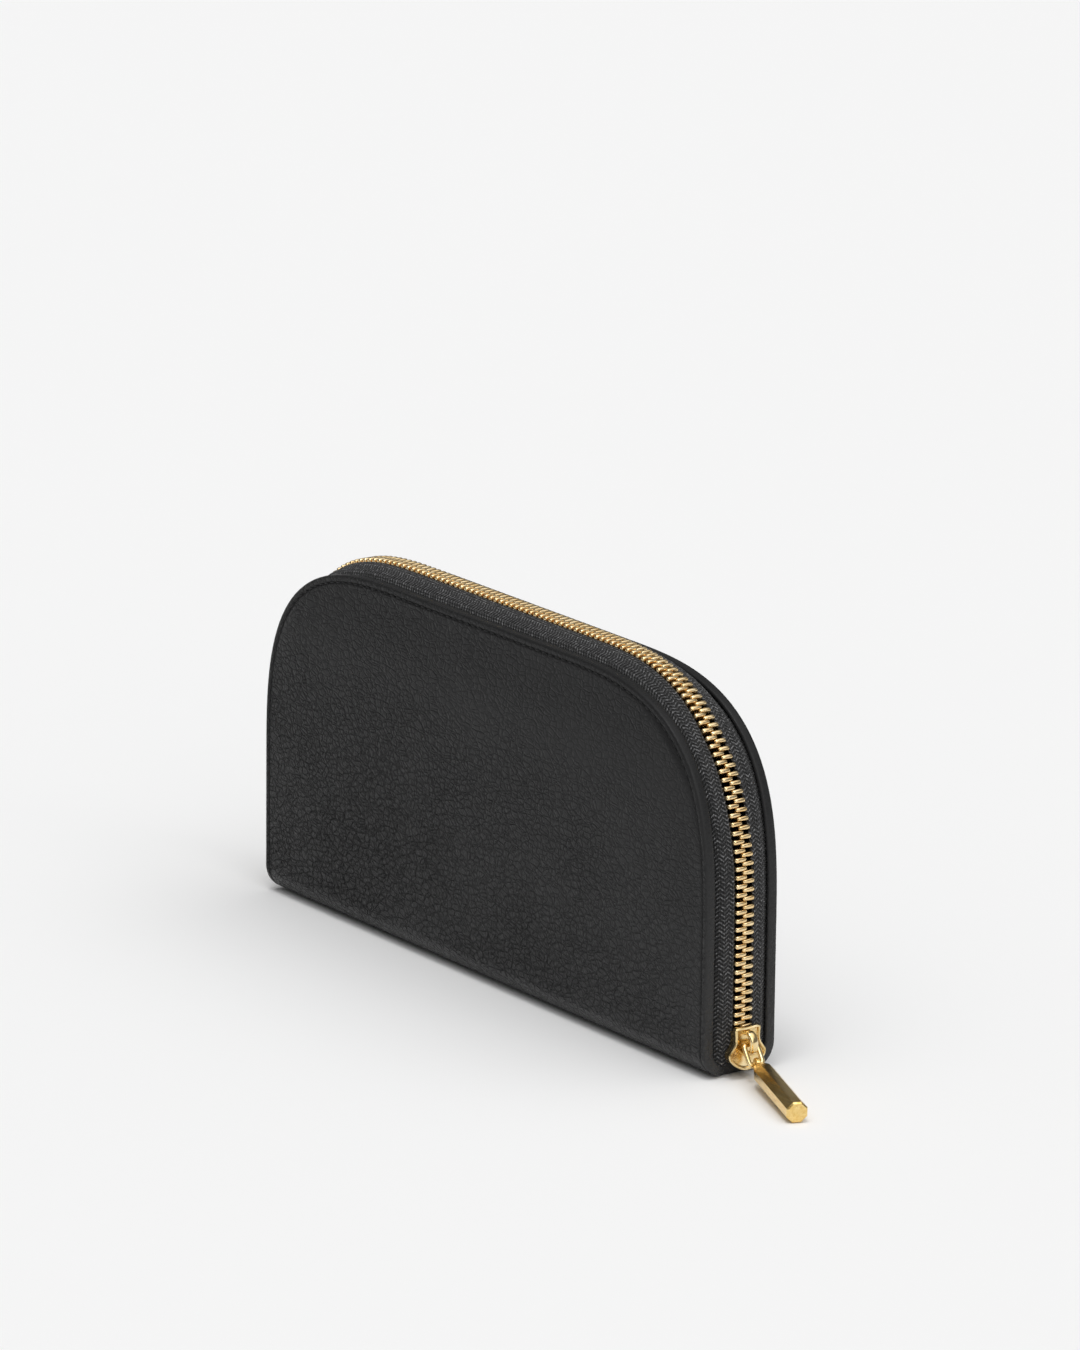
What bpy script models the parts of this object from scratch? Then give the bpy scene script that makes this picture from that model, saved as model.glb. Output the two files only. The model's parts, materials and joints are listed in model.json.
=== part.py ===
"""Zip around wallet, standing on its base: two leather covers on a rounded spine, a metal zip round
three sides, card slots on both covers, and a zipped coin pocket in the middle.

Run with: blender --background --python part.py
Frame: origin at the middle of the flat base, +X along the length, the front cover towards -Y, +Z up.
Every dimension below is in millimetres, and becomes metres where a mesh is made.
"""

import math

import bpy
import bmesh
import numpy as np
from mathutils import Vector

MM = 0.001

# The covers' outline: straight sides, superellipse corners at the top.
HALF_LENGTH = 95.0
HEIGHT = 92.8
CORNER_X = 60.5
CORNER_Z = 56.3
CORNER_POWER = 3.0
CORNER_STEPS = 11
FOOT_CORNER = 1.5

# Depth. Every layer is given by its distance from the middle plane, y = 0.
HALF_DEPTH = 10.6
SKIN = 1.0
EDGE_THICKNESS = 2.7
RIM_WIDTH = 1.0
EDGE_ROUNDING = 0.5
BOARD = (9.45, 8.95)
LINING = (8.8, 8.45)
POCKET_PANEL = (8.2, 7.85)
THREAD = (10.85, 10.65)
THREAD_INSET = 1.9
THREAD_HALF_WIDTH = 0.25
BOARD_INSET = 6.4
LINING_INSET = 2.1
POCKET_INSET = 8.0
GAP = 0.3

# The spine turns round two lines, which are also the covers' hinges.
SPINE_RADIUS = 7.0
HINGE_Y = HALF_DEPTH - SPINE_RADIUS
HINGE_Z = SPINE_RADIUS
COVER_SWING_DEG = 32.0
SPINE_START_DEG = 180.0 + COVER_SWING_DEG + 2.0
SPINE_STEPS = 6
LINING_START_DEG = 182.0
SPINE_LINING_RADII = (5.8, 5.2)
SPINE_LINING_HALF_LENGTH = 87.5
LAYER_FOOT = 11.0

# Zip: a tape sewn inside each cover's edge, arching out to the row of teeth.
TAPE_MIDLINE = (
    (9.2, -5.5),
    (9.2, -1.95),
    (8.8, -1.55),
    (7.75, -1.45),
    (6.7, -0.42),
    (5.4, 0.0),
    (2.35, 0.25),
)
TAPE_THICKNESS = 0.5
# The chain is stiffer than the covers: it stands higher along the top and cuts across the corners.
ARCH_DIP = 1.0
ARCH_DIP_START = 0.05
ARCH_DIP_REACH = 0.1
ARCH_TOP = 3.1
ARCH_TOP_START = 0.45
ARCH_SEWN_Y = 8.8
ARCH_CHAIN_Y = 3.0
TAPE_FOOT = 8.3
TEETH_SECTION = ((2.2, -0.6), (2.2, 1.1), (1.8, 1.5), (0.15, 1.5), (0.15, -1.0), (1.8, -1.0))
TEETH_FOOT_AT_SLIDER = 13.3
TEETH_FOOT_AT_START = 9.6
END_STOP_Y = (0.2, 2.25)
END_STOP_HEIGHT = 1.7
END_STOP_X = (-96.55, -93.95)

# Slider, on the straight right-hand side.
SLIDER_LOW = 2.0
SLIDER_HIGH = 13.0
OUTER_PLATE_X = (96.8, 97.8)
INNER_PLATE_X = (92.7, 93.7)
OUTER_PLATE_OUTLINE = ((3.7, 13.0), (3.9, 12.2), (3.6, 9.8), (5.5, 6.4), (5.1, 4.6), (1.6, 2.0))
INNER_PLATE_OUTLINE = ((3.4, 12.6), (4.6, 7.0), (4.6, 4.6), (2.2, 3.1))
FLANGE_Y = (3.6, 4.6)
OUTER_FLANGE_Z = (4.2, 11.4)
INNER_FLANGE_Z = (4.6, 9.0)
PLATE_OVERLAP = 0.5
FLANGE_SLOT_X = (94.55, 95.8)
WEDGE_HALF_WIDTH = 1.1
WEDGE_Z = (3.1, 5.8)
BRIDGE_HALF_WIDTH = 1.1
BRIDGE_OUTER = ((97.9, 11.9), (99.6, 11.7), (100.9, 10.3), (101.3, 8.6), (101.0, 6.8), (97.9, 5.4))
BRIDGE_INNER = ((97.9, 7.2), (99.4, 7.7), (99.9, 8.8), (99.6, 9.9), (97.9, 10.4))

# Pull: a ring through the bridge, and an eight-sided bar on the ring.
RING_TOP = (98.95, 0.0, 8.7)
RING_WIRE = 1.2
RING_HALF_WIDTH = 2.6
RING_HALF_DEPTH = 0.48
RING_OUTER_CORNER = 0.9
RING_INNER_CORNER = 0.4
BAR_JOINT = (101.9, 0.0, 4.2)
BAR_END = (131.9, -10.7, 2.62)
BAR_ACROSS_FLATS = 5.2
BAR_NECK_START = 1.9
BAR_NECK_SHARE = 0.62
BAR_SHOULDER = 4.4
BAR_CHAMFER = 0.35
EYE_RADIUS = 1.95
EYE_HOLE_RADIUS = 1.2
EYE_THICKNESS = 1.3
EYE_LENGTH = 3.0

# Card slots: overlapping strips, each with its foot tucked behind the next one's top edge.
SLOT_TOPS = (74.0, 63.0, 52.0, 41.0)
SLOT_STEP = 14.0
SLOT_FOOT = 12.0
SLOT_HALF_LENGTH = 72.0
SLOT_Y_FOOT = 7.5
SLOT_Y_TOP = 6.78
SLOT_THICKNESS = 0.4

# Coin pocket in the middle.
COIN_PANEL = (1.45, 1.0)
COIN_HALF_LENGTH = 82.0
COIN_FOOT = 3.0
COIN_TOP = 71.0
COIN_CORNER = 9.0
COIN_CORNER_STEPS = 6
COIN_TAPE = (0.75, 0.35)
COIN_TAPE_FOOT = 63.0
COIN_TEETH_GAP = 0.15
COIN_ZIP_HALF_LENGTH = 70.0
COIN_TAPE_TOP = 75.2
COIN_TEETH = (75.4, 77.2)
COIN_TEETH_HALF_WIDTH = 1.9
COIN_SLIDER_X = -62.0
COIN_SLIDER_LENGTH = 8.0
COIN_SLIDER_WALL = 0.9
COIN_SLIDER_LIP_Y = 1.25
COIN_SLIDER_LIP = 0.7
COIN_SLIDER_ROOF = 0.9
COIN_SLIDER_HALF_WIDTH = 3.2
COIN_SLIDER_CHAMFER = 0.5
COIN_BRIDGE = ((-3.0, 0.7), (3.0, 0.7), (2.4, 3.0), (1.3, 3.7), (-1.3, 3.7), (-2.4, 3.0))
COIN_BRIDGE_HALF_WIDTH = 0.7
COIN_BRIDGE_HOLE = ((-1.6, 1.1), (1.6, 1.1), (1.3, 2.3), (0.7, 2.7), (-0.7, 2.7), (-1.3, 2.3))
COIN_PULL_LENGTH = 8.6
COIN_PULL_OUTLINE = ((-1.0, -2.2), (7.8, -1.8), (COIN_PULL_LENGTH, -1.0))
COIN_PULL_THICKNESS = 0.7
COIN_PULL_SLOT_X = (-0.45, 3.4)
COIN_PULL_SLOT_Y = (-1.05, 1.05)
COIN_PULL_AXIS_BACK = 0.72
COIN_PULL_AXIS_RISE = 1.9

# Gussets: a pleat at each end between each cover and the coin pocket.
GUSSET_FOOT = 12.0
GUSSET_TOP = 64.0
GUSSET_EDGE_X = 87.0
GUSSET_FOLD_X = 77.5
GUSSET_THICKNESS = 0.4
GUSSET_COVER_Y = 7.45
GUSSET_FOLD_Y = 4.6
GUSSET_POCKET_Y = 1.95

FRONT = -1.0
BACK = 1.0


# ---------------------------------------------------------------- materials


def make_material(name, colour, roughness, metallic=0.0):
    material = bpy.data.materials.new(name)
    material.use_nodes = True
    shader = material.node_tree.nodes["Principled BSDF"]
    shader.inputs["Base Color"].default_value = (*colour, 1.0)
    shader.inputs["Roughness"].default_value = roughness
    shader.inputs["Metallic"].default_value = metallic
    material.diffuse_color = (*colour, 1.0)
    return material


def make_materials():
    return {
        "shell_leather": make_material("shell_leather", (0.035, 0.035, 0.037), 0.55),
        "slot_leather": make_material("slot_leather", (0.03, 0.03, 0.032), 0.5),
        "board": make_material("board", (0.25, 0.2, 0.15), 0.9),
        "lining": make_material("lining", (0.05, 0.05, 0.055), 0.9),
        "tape": make_material("tape", (0.015, 0.015, 0.017), 0.95),
        "thread": make_material("thread", (0.012, 0.012, 0.013), 0.7),
        "gold": make_material("gold", (0.83, 0.62, 0.28), 0.2, 1.0),
    }


# ---------------------------------------------------------------- mesh helpers


def add_mesh(name, points, faces, material, parent):
    """A mesh object from points in millimetres. Its faces are turned outwards."""
    origin = parent.matrix_world.translation
    mesh = bpy.data.meshes.new(name)
    mesh.from_pydata([Vector(point) * MM - origin for point in points], [], faces)
    shape = bmesh.new()
    shape.from_mesh(mesh)
    bmesh.ops.remove_doubles(shape, verts=shape.verts, dist=1e-7)
    bmesh.ops.recalc_face_normals(shape, faces=shape.faces)
    shape.to_mesh(mesh)
    shape.free()
    mesh.materials.append(material)
    thing = bpy.data.objects.new(name, mesh)
    bpy.context.scene.collection.objects.link(thing)
    thing.parent = parent
    return thing


def add_body(name, place_mm):
    """An empty on a body's joint axis, which the body's pieces hang on."""
    body = bpy.data.objects.new("body_" + name, None)
    body.location = Vector(place_mm) * MM
    bpy.context.scene.collection.objects.link(body)
    bpy.context.view_layer.update()
    return body


def loft(loops):
    """Points and faces of a solid through closed loops of equal length, with a cap at each end."""
    count = len(loops[0])
    points = [point for loop in loops for point in loop]
    faces = [tuple(range(count)), tuple(range((len(loops) - 1) * count, len(loops) * count))]
    for row in range(len(loops) - 1):
        for k in range(count):
            after = (k + 1) % count
            low, high = row * count, (row + 1) * count
            faces.append((low + k, low + after, high + after, high + k))
    return points, faces


def prism(outline, place_low, place_high):
    """A solid between two copies of an outline. Each place turns an outline point into a 3-D point."""
    return loft([[place_low(*point) for point in outline], [place_high(*point) for point in outline]])


def slab(outline_xz, y_low, y_high):
    return prism(outline_xz, lambda x, z: (x, y_low, z), lambda x, z: (x, y_high, z))


def block(x_range, y_range, z_range):
    (left, right), (low, high) = x_range, z_range
    return slab([(left, low), (right, low), (right, high), (left, high)], *y_range)


def unite(target, others):
    """Joins the other objects to target with Boolean unions."""
    for other in others:
        joint = target.modifiers.new("union_" + other.name, "BOOLEAN")
        joint.operation = "UNION"
        joint.solver = "EXACT"
        joint.object = other
        other.hide_render = True
        other.display_type = "WIRE"
    return target


def cut(target, cutter):
    hole = target.modifiers.new("cut_" + cutter.name, "BOOLEAN")
    hole.operation = "DIFFERENCE"
    hole.solver = "EXACT"
    hole.object = cutter
    cutter.hide_render = True
    cutter.display_type = "WIRE"
    return target


# ---------------------------------------------------------------- the outline


def corner_point(share):
    """A point on the right top corner and the outward normal there, from 0 on the side to 1 on the top."""
    turn = share * math.pi / 2
    c, s = math.cos(turn), math.sin(turn)
    x = HALF_LENGTH - CORNER_X + CORNER_X * max(c, 0.0) ** (2 / CORNER_POWER)
    z = HEIGHT - CORNER_Z + CORNER_Z * max(s, 0.0) ** (2 / CORNER_POWER)
    slope_x = (max(x - HALF_LENGTH + CORNER_X, 0.0) / CORNER_X) ** (CORNER_POWER - 1) / CORNER_X
    slope_z = (max(z - HEIGHT + CORNER_Z, 0.0) / CORNER_Z) ** (CORNER_POWER - 1) / CORNER_Z
    normal = Vector((slope_x, slope_z)).normalized()
    return x, z, normal.x, normal.y


def even_corner():
    """Stations along the corner with even spacing."""
    fine = [corner_point(k / 400) for k in range(401)]
    run = np.cumsum([0.0] + [math.dist(a[:2], b[:2]) for a, b in zip(fine, fine[1:])])
    wanted = np.linspace(0.0, run[-1], CORNER_STEPS + 1)
    return [fine[int(np.searchsorted(run, at - 1e-9))] for at in wanted]


def edge_stations(foot_right, foot_left):
    """(x, z, outward normal) from the right side's foot, over the top, to the left side's foot."""
    corner = even_corner()
    left_corner = [(-x, z, -nx, nz) for x, z, nx, nz in reversed(corner)]
    return [(HALF_LENGTH, foot_right, 1.0, 0.0), *corner, *left_corner, (-HALF_LENGTH, foot_left, -1.0, 0.0)]


def inset_outline(inset, foot):
    """The cover's closed outline, drawn in by inset all round, with a straight foot."""
    return [(x - nx * inset, z - nz * inset) for x, z, nx, nz in edge_stations(foot, foot)]


def smooth_share(value, low, high):
    share = min(max((value - low) / (high - low), 0.0), 1.0)
    return share * share * (3 - 2 * share)


def chain_rise(nx, nz):
    """How much further out than the section says the chain stands, where the outline faces (nx, nz)."""
    turn = math.atan2(max(nz, 0.0), abs(nx)) / (math.pi / 2)
    dip = ARCH_DIP * (1 - math.exp(-max(turn - ARCH_DIP_START, 0.0) / ARCH_DIP_REACH))
    return ARCH_TOP * smooth_share(turn, ARCH_TOP_START, 1.0) - dip


def arched_sweep(section, foot_right, foot_left, side):
    """Like edge_sweep, with the parts near the chain following its own line."""
    loops = []
    for x, z, nx, nz in edge_stations(foot_right, foot_left):
        loop = []
        for y, out in section:
            reach = out + chain_rise(nx, nz) * smooth_share(ARCH_SEWN_Y - y, 0.0, ARCH_SEWN_Y - ARCH_CHAIN_Y)
            loop.append((x + nx * reach, side * y, z + nz * reach))
        loops.append(loop)
    return loft(loops)


def edge_sweep(section, foot_right, foot_left, side):
    """A section of (distance from the middle plane, distance out from the outline) swept round the edge."""
    loops = []
    for x, z, nx, nz in edge_stations(foot_right, foot_left):
        loops.append([(x + nx * out, side * y, z + nz * out) for y, out in section])
    return loft(loops)


def thickened(midline, thickness):
    """The closed section of a strip whose middle runs along midline."""
    one, other = [], []
    for k, (y, out) in enumerate(midline):
        before = midline[max(k - 1, 0)]
        after = midline[min(k + 1, len(midline) - 1)]
        along = Vector((after[0] - before[0], after[1] - before[1])).normalized() * thickness / 2
        one.append((y - along.y, out + along.x))
        other.append((y + along.y, out - along.x))
    return one + other[::-1]


# ---------------------------------------------------------------- cover pieces


def cover_leather(side_name, side, body, material):
    """The outer leather: a panel with its edge turned in round three sides, open at the foot."""
    outer, inner = HALF_DEPTH, HALF_DEPTH - EDGE_THICKNESS
    section = [
        (outer, -EDGE_ROUNDING),
        (outer - EDGE_ROUNDING, 0.0),
        (inner + EDGE_ROUNDING, 0.0),
        (inner, -EDGE_ROUNDING),
        (inner, -RIM_WIDTH),
        (outer - SKIN, -RIM_WIDTH),
    ]
    stations = edge_stations(HINGE_Z, HINGE_Z)
    count = len(section)
    points = [(x + nx * out, side * y, z + nz * out) for x, z, nx, nz in stations for y, out in section]
    faces = []
    for row in range(len(stations) - 1):
        for k in range(count - 1):
            low, high = row * count + k, (row + 1) * count + k
            faces.append((low, low + 1, high + 1, high))
    last = (len(stations) - 1) * count
    faces.append(tuple(row * count for row in range(len(stations))))
    faces.append(tuple(row * count + count - 1 for row in range(len(stations))))
    faces.append(tuple(range(count)) + tuple(range(last + count - 1, last - 1, -1)))
    return add_mesh(side_name + "_leather", points, faces, material, body)


def cover_layer(name, side, layer, inset, foot, body, material):
    points, faces = slab(inset_outline(inset, foot), side * layer[0], side * layer[1])
    return add_mesh(name, points, faces, material, body)


def cover_stitching(side_name, side, body, material):
    """The thread that shows as one line round the cover, just inside its edge."""
    near, far = -THREAD_INSET - THREAD_HALF_WIDTH, -THREAD_INSET + THREAD_HALF_WIDTH
    section = [(THREAD[0], near), (THREAD[0], far), (THREAD[1], far), (THREAD[1], near)]
    points, faces = edge_sweep(section, HINGE_Z, HINGE_Z, side)
    return add_mesh(side_name + "_stitching", points, faces, material, body)


def cover_card_slots(side_name, side, body, material):
    for number, top in enumerate(SLOT_TOPS, start=1):
        is_last = number == len(SLOT_TOPS)
        foot = SLOT_FOOT if is_last else top - SLOT_STEP
        half = SLOT_THICKNESS / 2
        section = [
            (SLOT_Y_FOOT + half, foot),
            (SLOT_Y_TOP + half, top),
            (SLOT_Y_TOP - half, top),
            (SLOT_Y_FOOT - half, foot),
        ]
        loops = [[(x, side * y, z) for y, z in section] for x in (-SLOT_HALF_LENGTH, SLOT_HALF_LENGTH)]
        points, faces = loft(loops)
        add_mesh(f"{side_name}_card_slot_{number}", points, faces, material, body)


def cover_zip(side_name, side, body, materials):
    tape = thickened(TAPE_MIDLINE, TAPE_THICKNESS)
    points, faces = arched_sweep(tape, TAPE_FOOT, TAPE_FOOT, side)
    add_mesh(side_name + "_zip_tape", points, faces, materials["tape"], body)
    points, faces = arched_sweep(TEETH_SECTION, TEETH_FOOT_AT_SLIDER, TEETH_FOOT_AT_START + GAP, side)
    add_mesh(side_name + "_teeth", points, faces, materials["gold"], body)
    y_range = (side * END_STOP_Y[0], side * END_STOP_Y[1])
    z_range = (TEETH_FOOT_AT_START - END_STOP_HEIGHT, TEETH_FOOT_AT_START)
    points, faces = block(END_STOP_X, y_range, z_range)
    add_mesh(side_name + "_end_stop", points, faces, materials["gold"], body)


def make_cover(side_name, side, materials):
    body = add_body(side_name + "_cover", (0.0, side * HINGE_Y, HINGE_Z))
    cover_leather(side_name, side, body, materials["shell_leather"])
    cover_layer(side_name + "_board", side, BOARD, BOARD_INSET, LAYER_FOOT, body, materials["board"])
    cover_layer(side_name + "_lining", side, LINING, LINING_INSET, LAYER_FOOT, body, materials["lining"])
    slot_leather = materials["slot_leather"]
    cover_layer(side_name + "_pocket_panel", side, POCKET_PANEL, POCKET_INSET, LAYER_FOOT, body, slot_leather)
    cover_stitching(side_name, side, body, materials["thread"])
    cover_card_slots(side_name, side, body, slot_leather)
    cover_zip(side_name, side, body, materials)
    return body


# ---------------------------------------------------------------- spine


def arc_section(radius, start_deg, steps):
    """(y, z) from the front hinge line's arc, along the flat base, to the back one's."""
    points = []
    for k in range(steps + 1):
        turn = math.radians(start_deg + (270.0 - start_deg) * k / steps)
        points.append((-HINGE_Y + radius * math.cos(turn), HINGE_Z + radius * math.sin(turn)))
    return points + [(-y, z) for y, z in reversed(points)]


def end_of_spine(z):
    """Half the spine's length at a height: the foot corners are rounded."""
    if z >= FOOT_CORNER:
        return HALF_LENGTH
    return HALF_LENGTH - FOOT_CORNER + math.sqrt(FOOT_CORNER**2 - (FOOT_CORNER - z) ** 2)


def spine_leather(root, material):
    """The leather that wraps under the wallet, thicker where its ends are turned in."""
    outer = arc_section(SPINE_RADIUS, SPINE_START_DEG, SPINE_STEPS)
    skin = arc_section(SPINE_RADIUS - SKIN, SPINE_START_DEG, SPINE_STEPS)
    rim = arc_section(SPINE_RADIUS - EDGE_THICKNESS, SPINE_START_DEG, SPINE_STEPS)
    loops = []
    for (y, z), (skin_y, skin_z), (rim_y, rim_z) in zip(outer, skin, rim):
        end = end_of_spine(z)
        step = end - RIM_WIDTH
        loops.append([
            (-end, y, z),
            (end, y, z),
            (end, rim_y, rim_z),
            (step, rim_y, rim_z),
            (step, skin_y, skin_z),
            (-step, skin_y, skin_z),
            (-step, rim_y, rim_z),
            (-end, rim_y, rim_z),
        ])
    points, faces = loft(loops)
    return add_mesh("spine_leather", points, faces, material, root)


def spine_lining(root, material):
    outer_radius, inner_radius = SPINE_LINING_RADII
    outer = arc_section(outer_radius, LINING_START_DEG, SPINE_STEPS)
    inner = arc_section(inner_radius, LINING_START_DEG, SPINE_STEPS)
    half = SPINE_LINING_HALF_LENGTH
    loops = [
        [(-half, *out), (half, *out), (half, *back), (-half, *back)]
        for out, back in zip(outer, inner)
    ]
    points, faces = loft(loops)
    return add_mesh("spine_lining", points, faces, material, root)


# ---------------------------------------------------------------- coin pocket


def coin_outline():
    """The pocket panel's outline, with rounded top corners."""
    points = [(-COIN_HALF_LENGTH, COIN_FOOT), (COIN_HALF_LENGTH, COIN_FOOT)]
    centre_x, centre_z = COIN_HALF_LENGTH - COIN_CORNER, COIN_TOP - COIN_CORNER
    arc = [math.radians(90.0 * k / COIN_CORNER_STEPS) for k in range(COIN_CORNER_STEPS + 1)]
    right = [(centre_x + COIN_CORNER * math.cos(a), centre_z + COIN_CORNER * math.sin(a)) for a in arc]
    return points + right + [(-x, z) for x, z in reversed(right)]


def coin_pocket(root, materials):
    half = COIN_ZIP_HALF_LENGTH
    for side_name, side in (("front", FRONT), ("back", BACK)):
        points, faces = slab(coin_outline(), side * COIN_PANEL[0], side * COIN_PANEL[1])
        add_mesh(f"coin_pocket_{side_name}", points, faces, materials["slot_leather"], root)
        tape_y = (side * COIN_TAPE[0], side * COIN_TAPE[1])
        points, faces = block((-half, half), tape_y, (COIN_TAPE_FOOT, COIN_TAPE_TOP))
        add_mesh(f"coin_zip_tape_{side_name}", points, faces, materials["tape"], root)
        teeth_y = (side * COIN_TEETH_HALF_WIDTH, side * COIN_TEETH_GAP)
        points, faces = block((-half, half), teeth_y, COIN_TEETH)
        add_mesh(f"coin_teeth_{side_name}", points, faces, materials["gold"], root)


def coin_slider(materials):
    """A channel over the coin teeth, with a bridge that its pull turns in."""
    low, high = COIN_TEETH
    body = add_body("coin_slider", (COIN_SLIDER_X, 0.0, high))
    ends = (COIN_SLIDER_X - COIN_SLIDER_LENGTH / 2, COIN_SLIDER_X + COIN_SLIDER_LENGTH / 2)
    width, wall, lip_y = COIN_SLIDER_HALF_WIDTH, COIN_SLIDER_WALL, COIN_SLIDER_LIP_Y
    roof = high + GAP
    lip_top = low - GAP
    half_section = [
        (lip_y, lip_top - COIN_SLIDER_LIP),
        (width, lip_top - COIN_SLIDER_LIP),
        (width, roof + COIN_SLIDER_ROOF - COIN_SLIDER_CHAMFER),
        (width - COIN_SLIDER_CHAMFER, roof + COIN_SLIDER_ROOF),
    ]
    hollow = [(lip_y, lip_top), (width - wall, lip_top), (width - wall, roof)]
    section = half_section + [(-y, z) for y, z in reversed(half_section)]
    section += [(-y, z) for y, z in hollow] + list(reversed(hollow))
    points, faces = loft([[(x, y, z) for y, z in section] for x in ends])
    shell = add_mesh("coin_slider", points, faces, materials["gold"], body)

    def upright(name, outline, half_width):
        ring = [(COIN_SLIDER_X + x, roof + z) for x, z in outline]
        points, faces = slab(ring, -half_width, half_width)
        return add_mesh(name, points, faces, materials["gold"], body)

    unite(shell, [upright("coin_bridge_guide", COIN_BRIDGE, COIN_BRIDGE_HALF_WIDTH)])
    cut(shell, upright("coin_hole_cutter", COIN_BRIDGE_HOLE, 2 * COIN_BRIDGE_HALF_WIDTH))
    axis_height = roof + COIN_PULL_AXIS_RISE
    pull_body = add_body("coin_pull", (COIN_SLIDER_X - COIN_PULL_AXIS_BACK, 0.0, axis_height))
    coin_pull(pull_body, axis_height, materials["gold"])


def coin_pull(body, height, material):
    """A flat tab with a slot at one end, lying along the pocket's zip."""
    outline = list(COIN_PULL_OUTLINE) + [(x, -y) for x, y in reversed(COIN_PULL_OUTLINE)]
    half = COIN_PULL_THICKNESS / 2
    points, faces = prism(
        outline,
        lambda x, y: (COIN_SLIDER_X + x, y, height - half),
        lambda x, y: (COIN_SLIDER_X + x, y, height + half),
    )
    tab = add_mesh("coin_pull", points, faces, material, body)
    slot_x = tuple(COIN_SLIDER_X + x for x in COIN_PULL_SLOT_X)
    slot_z = (height - 2 * COIN_PULL_THICKNESS, height + 2 * COIN_PULL_THICKNESS)
    points, faces = block(slot_x, COIN_PULL_SLOT_Y, slot_z)
    return cut(tab, add_mesh("coin_pull_cutter", points, faces, material, body))


# ---------------------------------------------------------------- gussets


def gussets(root, material):
    """Each is one pleat, folded towards the middle of the wallet."""
    half = GUSSET_THICKNESS / 2
    for end_name, end in (("left", -1.0), ("right", 1.0)):
        for side_name, side in (("front", FRONT), ("back", BACK)):
            midline = [
                (GUSSET_EDGE_X, GUSSET_COVER_Y),
                (GUSSET_FOLD_X, GUSSET_FOLD_Y),
                (GUSSET_EDGE_X, GUSSET_POCKET_Y),
            ]
            section = [
                (midline[0][0], midline[0][1] + half),
                (midline[1][0] - 2 * half, midline[1][1]),
                (midline[2][0], midline[2][1] - half),
                (midline[2][0], midline[2][1] + half),
                (midline[1][0] + 2 * half, midline[1][1]),
                (midline[0][0], midline[0][1] - half),
            ]
            points, faces = prism(
                section,
                lambda x, y: (end * x, side * y, GUSSET_FOOT),
                lambda x, y: (end * x, side * y, GUSSET_TOP),
            )
            add_mesh(f"gusset_{end_name}_{side_name}", points, faces, material, root)


# ---------------------------------------------------------------- slider and pull


def mirrored(half_outline):
    """A closed (y, z) outline from its +Y half."""
    return list(half_outline) + [(-y, z) for y, z in reversed(half_outline)]


def make_slider(material):
    body = add_body("slider", (HALF_LENGTH, 0.0, SLIDER_LOW))

    def plate(name, outline, x_range):
        points, faces = prism(
            mirrored(outline),
            lambda y, z: (x_range[0], y, z),
            lambda y, z: (x_range[1], y, z),
        )
        return add_mesh(name, points, faces, material, body)

    shell = plate("slider_body", OUTER_PLATE_OUTLINE, OUTER_PLATE_X)
    in_outer, in_inner = OUTER_PLATE_X[0] + PLATE_OVERLAP, INNER_PLATE_X[1] - PLATE_OVERLAP
    points, faces = block((in_inner, in_outer), (-WEDGE_HALF_WIDTH, WEDGE_HALF_WIDTH), WEDGE_Z)
    others = [add_mesh("slider_wedge", points, faces, material, body)]
    others.append(plate("slider_inner_plate", INNER_PLATE_OUTLINE, INNER_PLATE_X))
    walls = (
        ("outer", (FLANGE_SLOT_X[1], in_outer), OUTER_FLANGE_Z),
        ("inner", (in_inner, FLANGE_SLOT_X[0]), INNER_FLANGE_Z),
    )
    for side_name, side in (("front", FRONT), ("back", BACK)):
        for wall_name, x_range, z_range in walls:
            points, faces = block(x_range, (side * FLANGE_Y[0], side * FLANGE_Y[1]), z_range)
            others.append(add_mesh(f"flange_{side_name}_{wall_name}", points, faces, material, body))
    unite(shell, others)
    bridge = list(BRIDGE_OUTER) + list(BRIDGE_INNER)
    points, faces = slab(bridge, -BRIDGE_HALF_WIDTH, BRIDGE_HALF_WIDTH)
    add_mesh("slider_bridge", points, faces, material, body)
    return body


def make_ring(material):
    """The flat ring through the bridge, hanging from it towards the bar's eye."""
    top, foot = Vector(RING_TOP), Vector(BAR_JOINT)
    body = add_body("pull_ring", RING_TOP)
    down = (foot - top).normalized()
    out = down.cross(Vector((0.0, 1.0, 0.0))).normalized()
    half = RING_WIRE / 2
    length = (foot - top).length

    def place(loop, offset):
        return [tuple(top + Vector((0, y, 0)) + down * along + out * offset) for y, along in loop]

    def rounded(half_width, start, end, corner):
        return [
            (-half_width + corner, start),
            (half_width - corner, start),
            (half_width, start + corner),
            (half_width, end - corner),
            (half_width - corner, end),
            (-half_width + corner, end),
            (-half_width, end - corner),
            (-half_width, start + corner),
        ]

    outer = rounded(RING_HALF_WIDTH, -half, length + half, RING_OUTER_CORNER)
    inner = rounded(RING_HALF_WIDTH - RING_WIRE, half, length - half, RING_INNER_CORNER)
    count = len(outer)
    depth = RING_HALF_DEPTH
    points = place(outer, -depth) + place(outer, depth) + place(inner, depth) + place(inner, -depth)
    faces = []
    for band in range(4):
        low, high = band * count, ((band + 1) % 4) * count
        for k in range(count):
            after = (k + 1) % count
            faces.append((low + k, low + after, high + after, high + k))
    add_mesh("pull_ring", points, faces, material, body)
    return body


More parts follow.
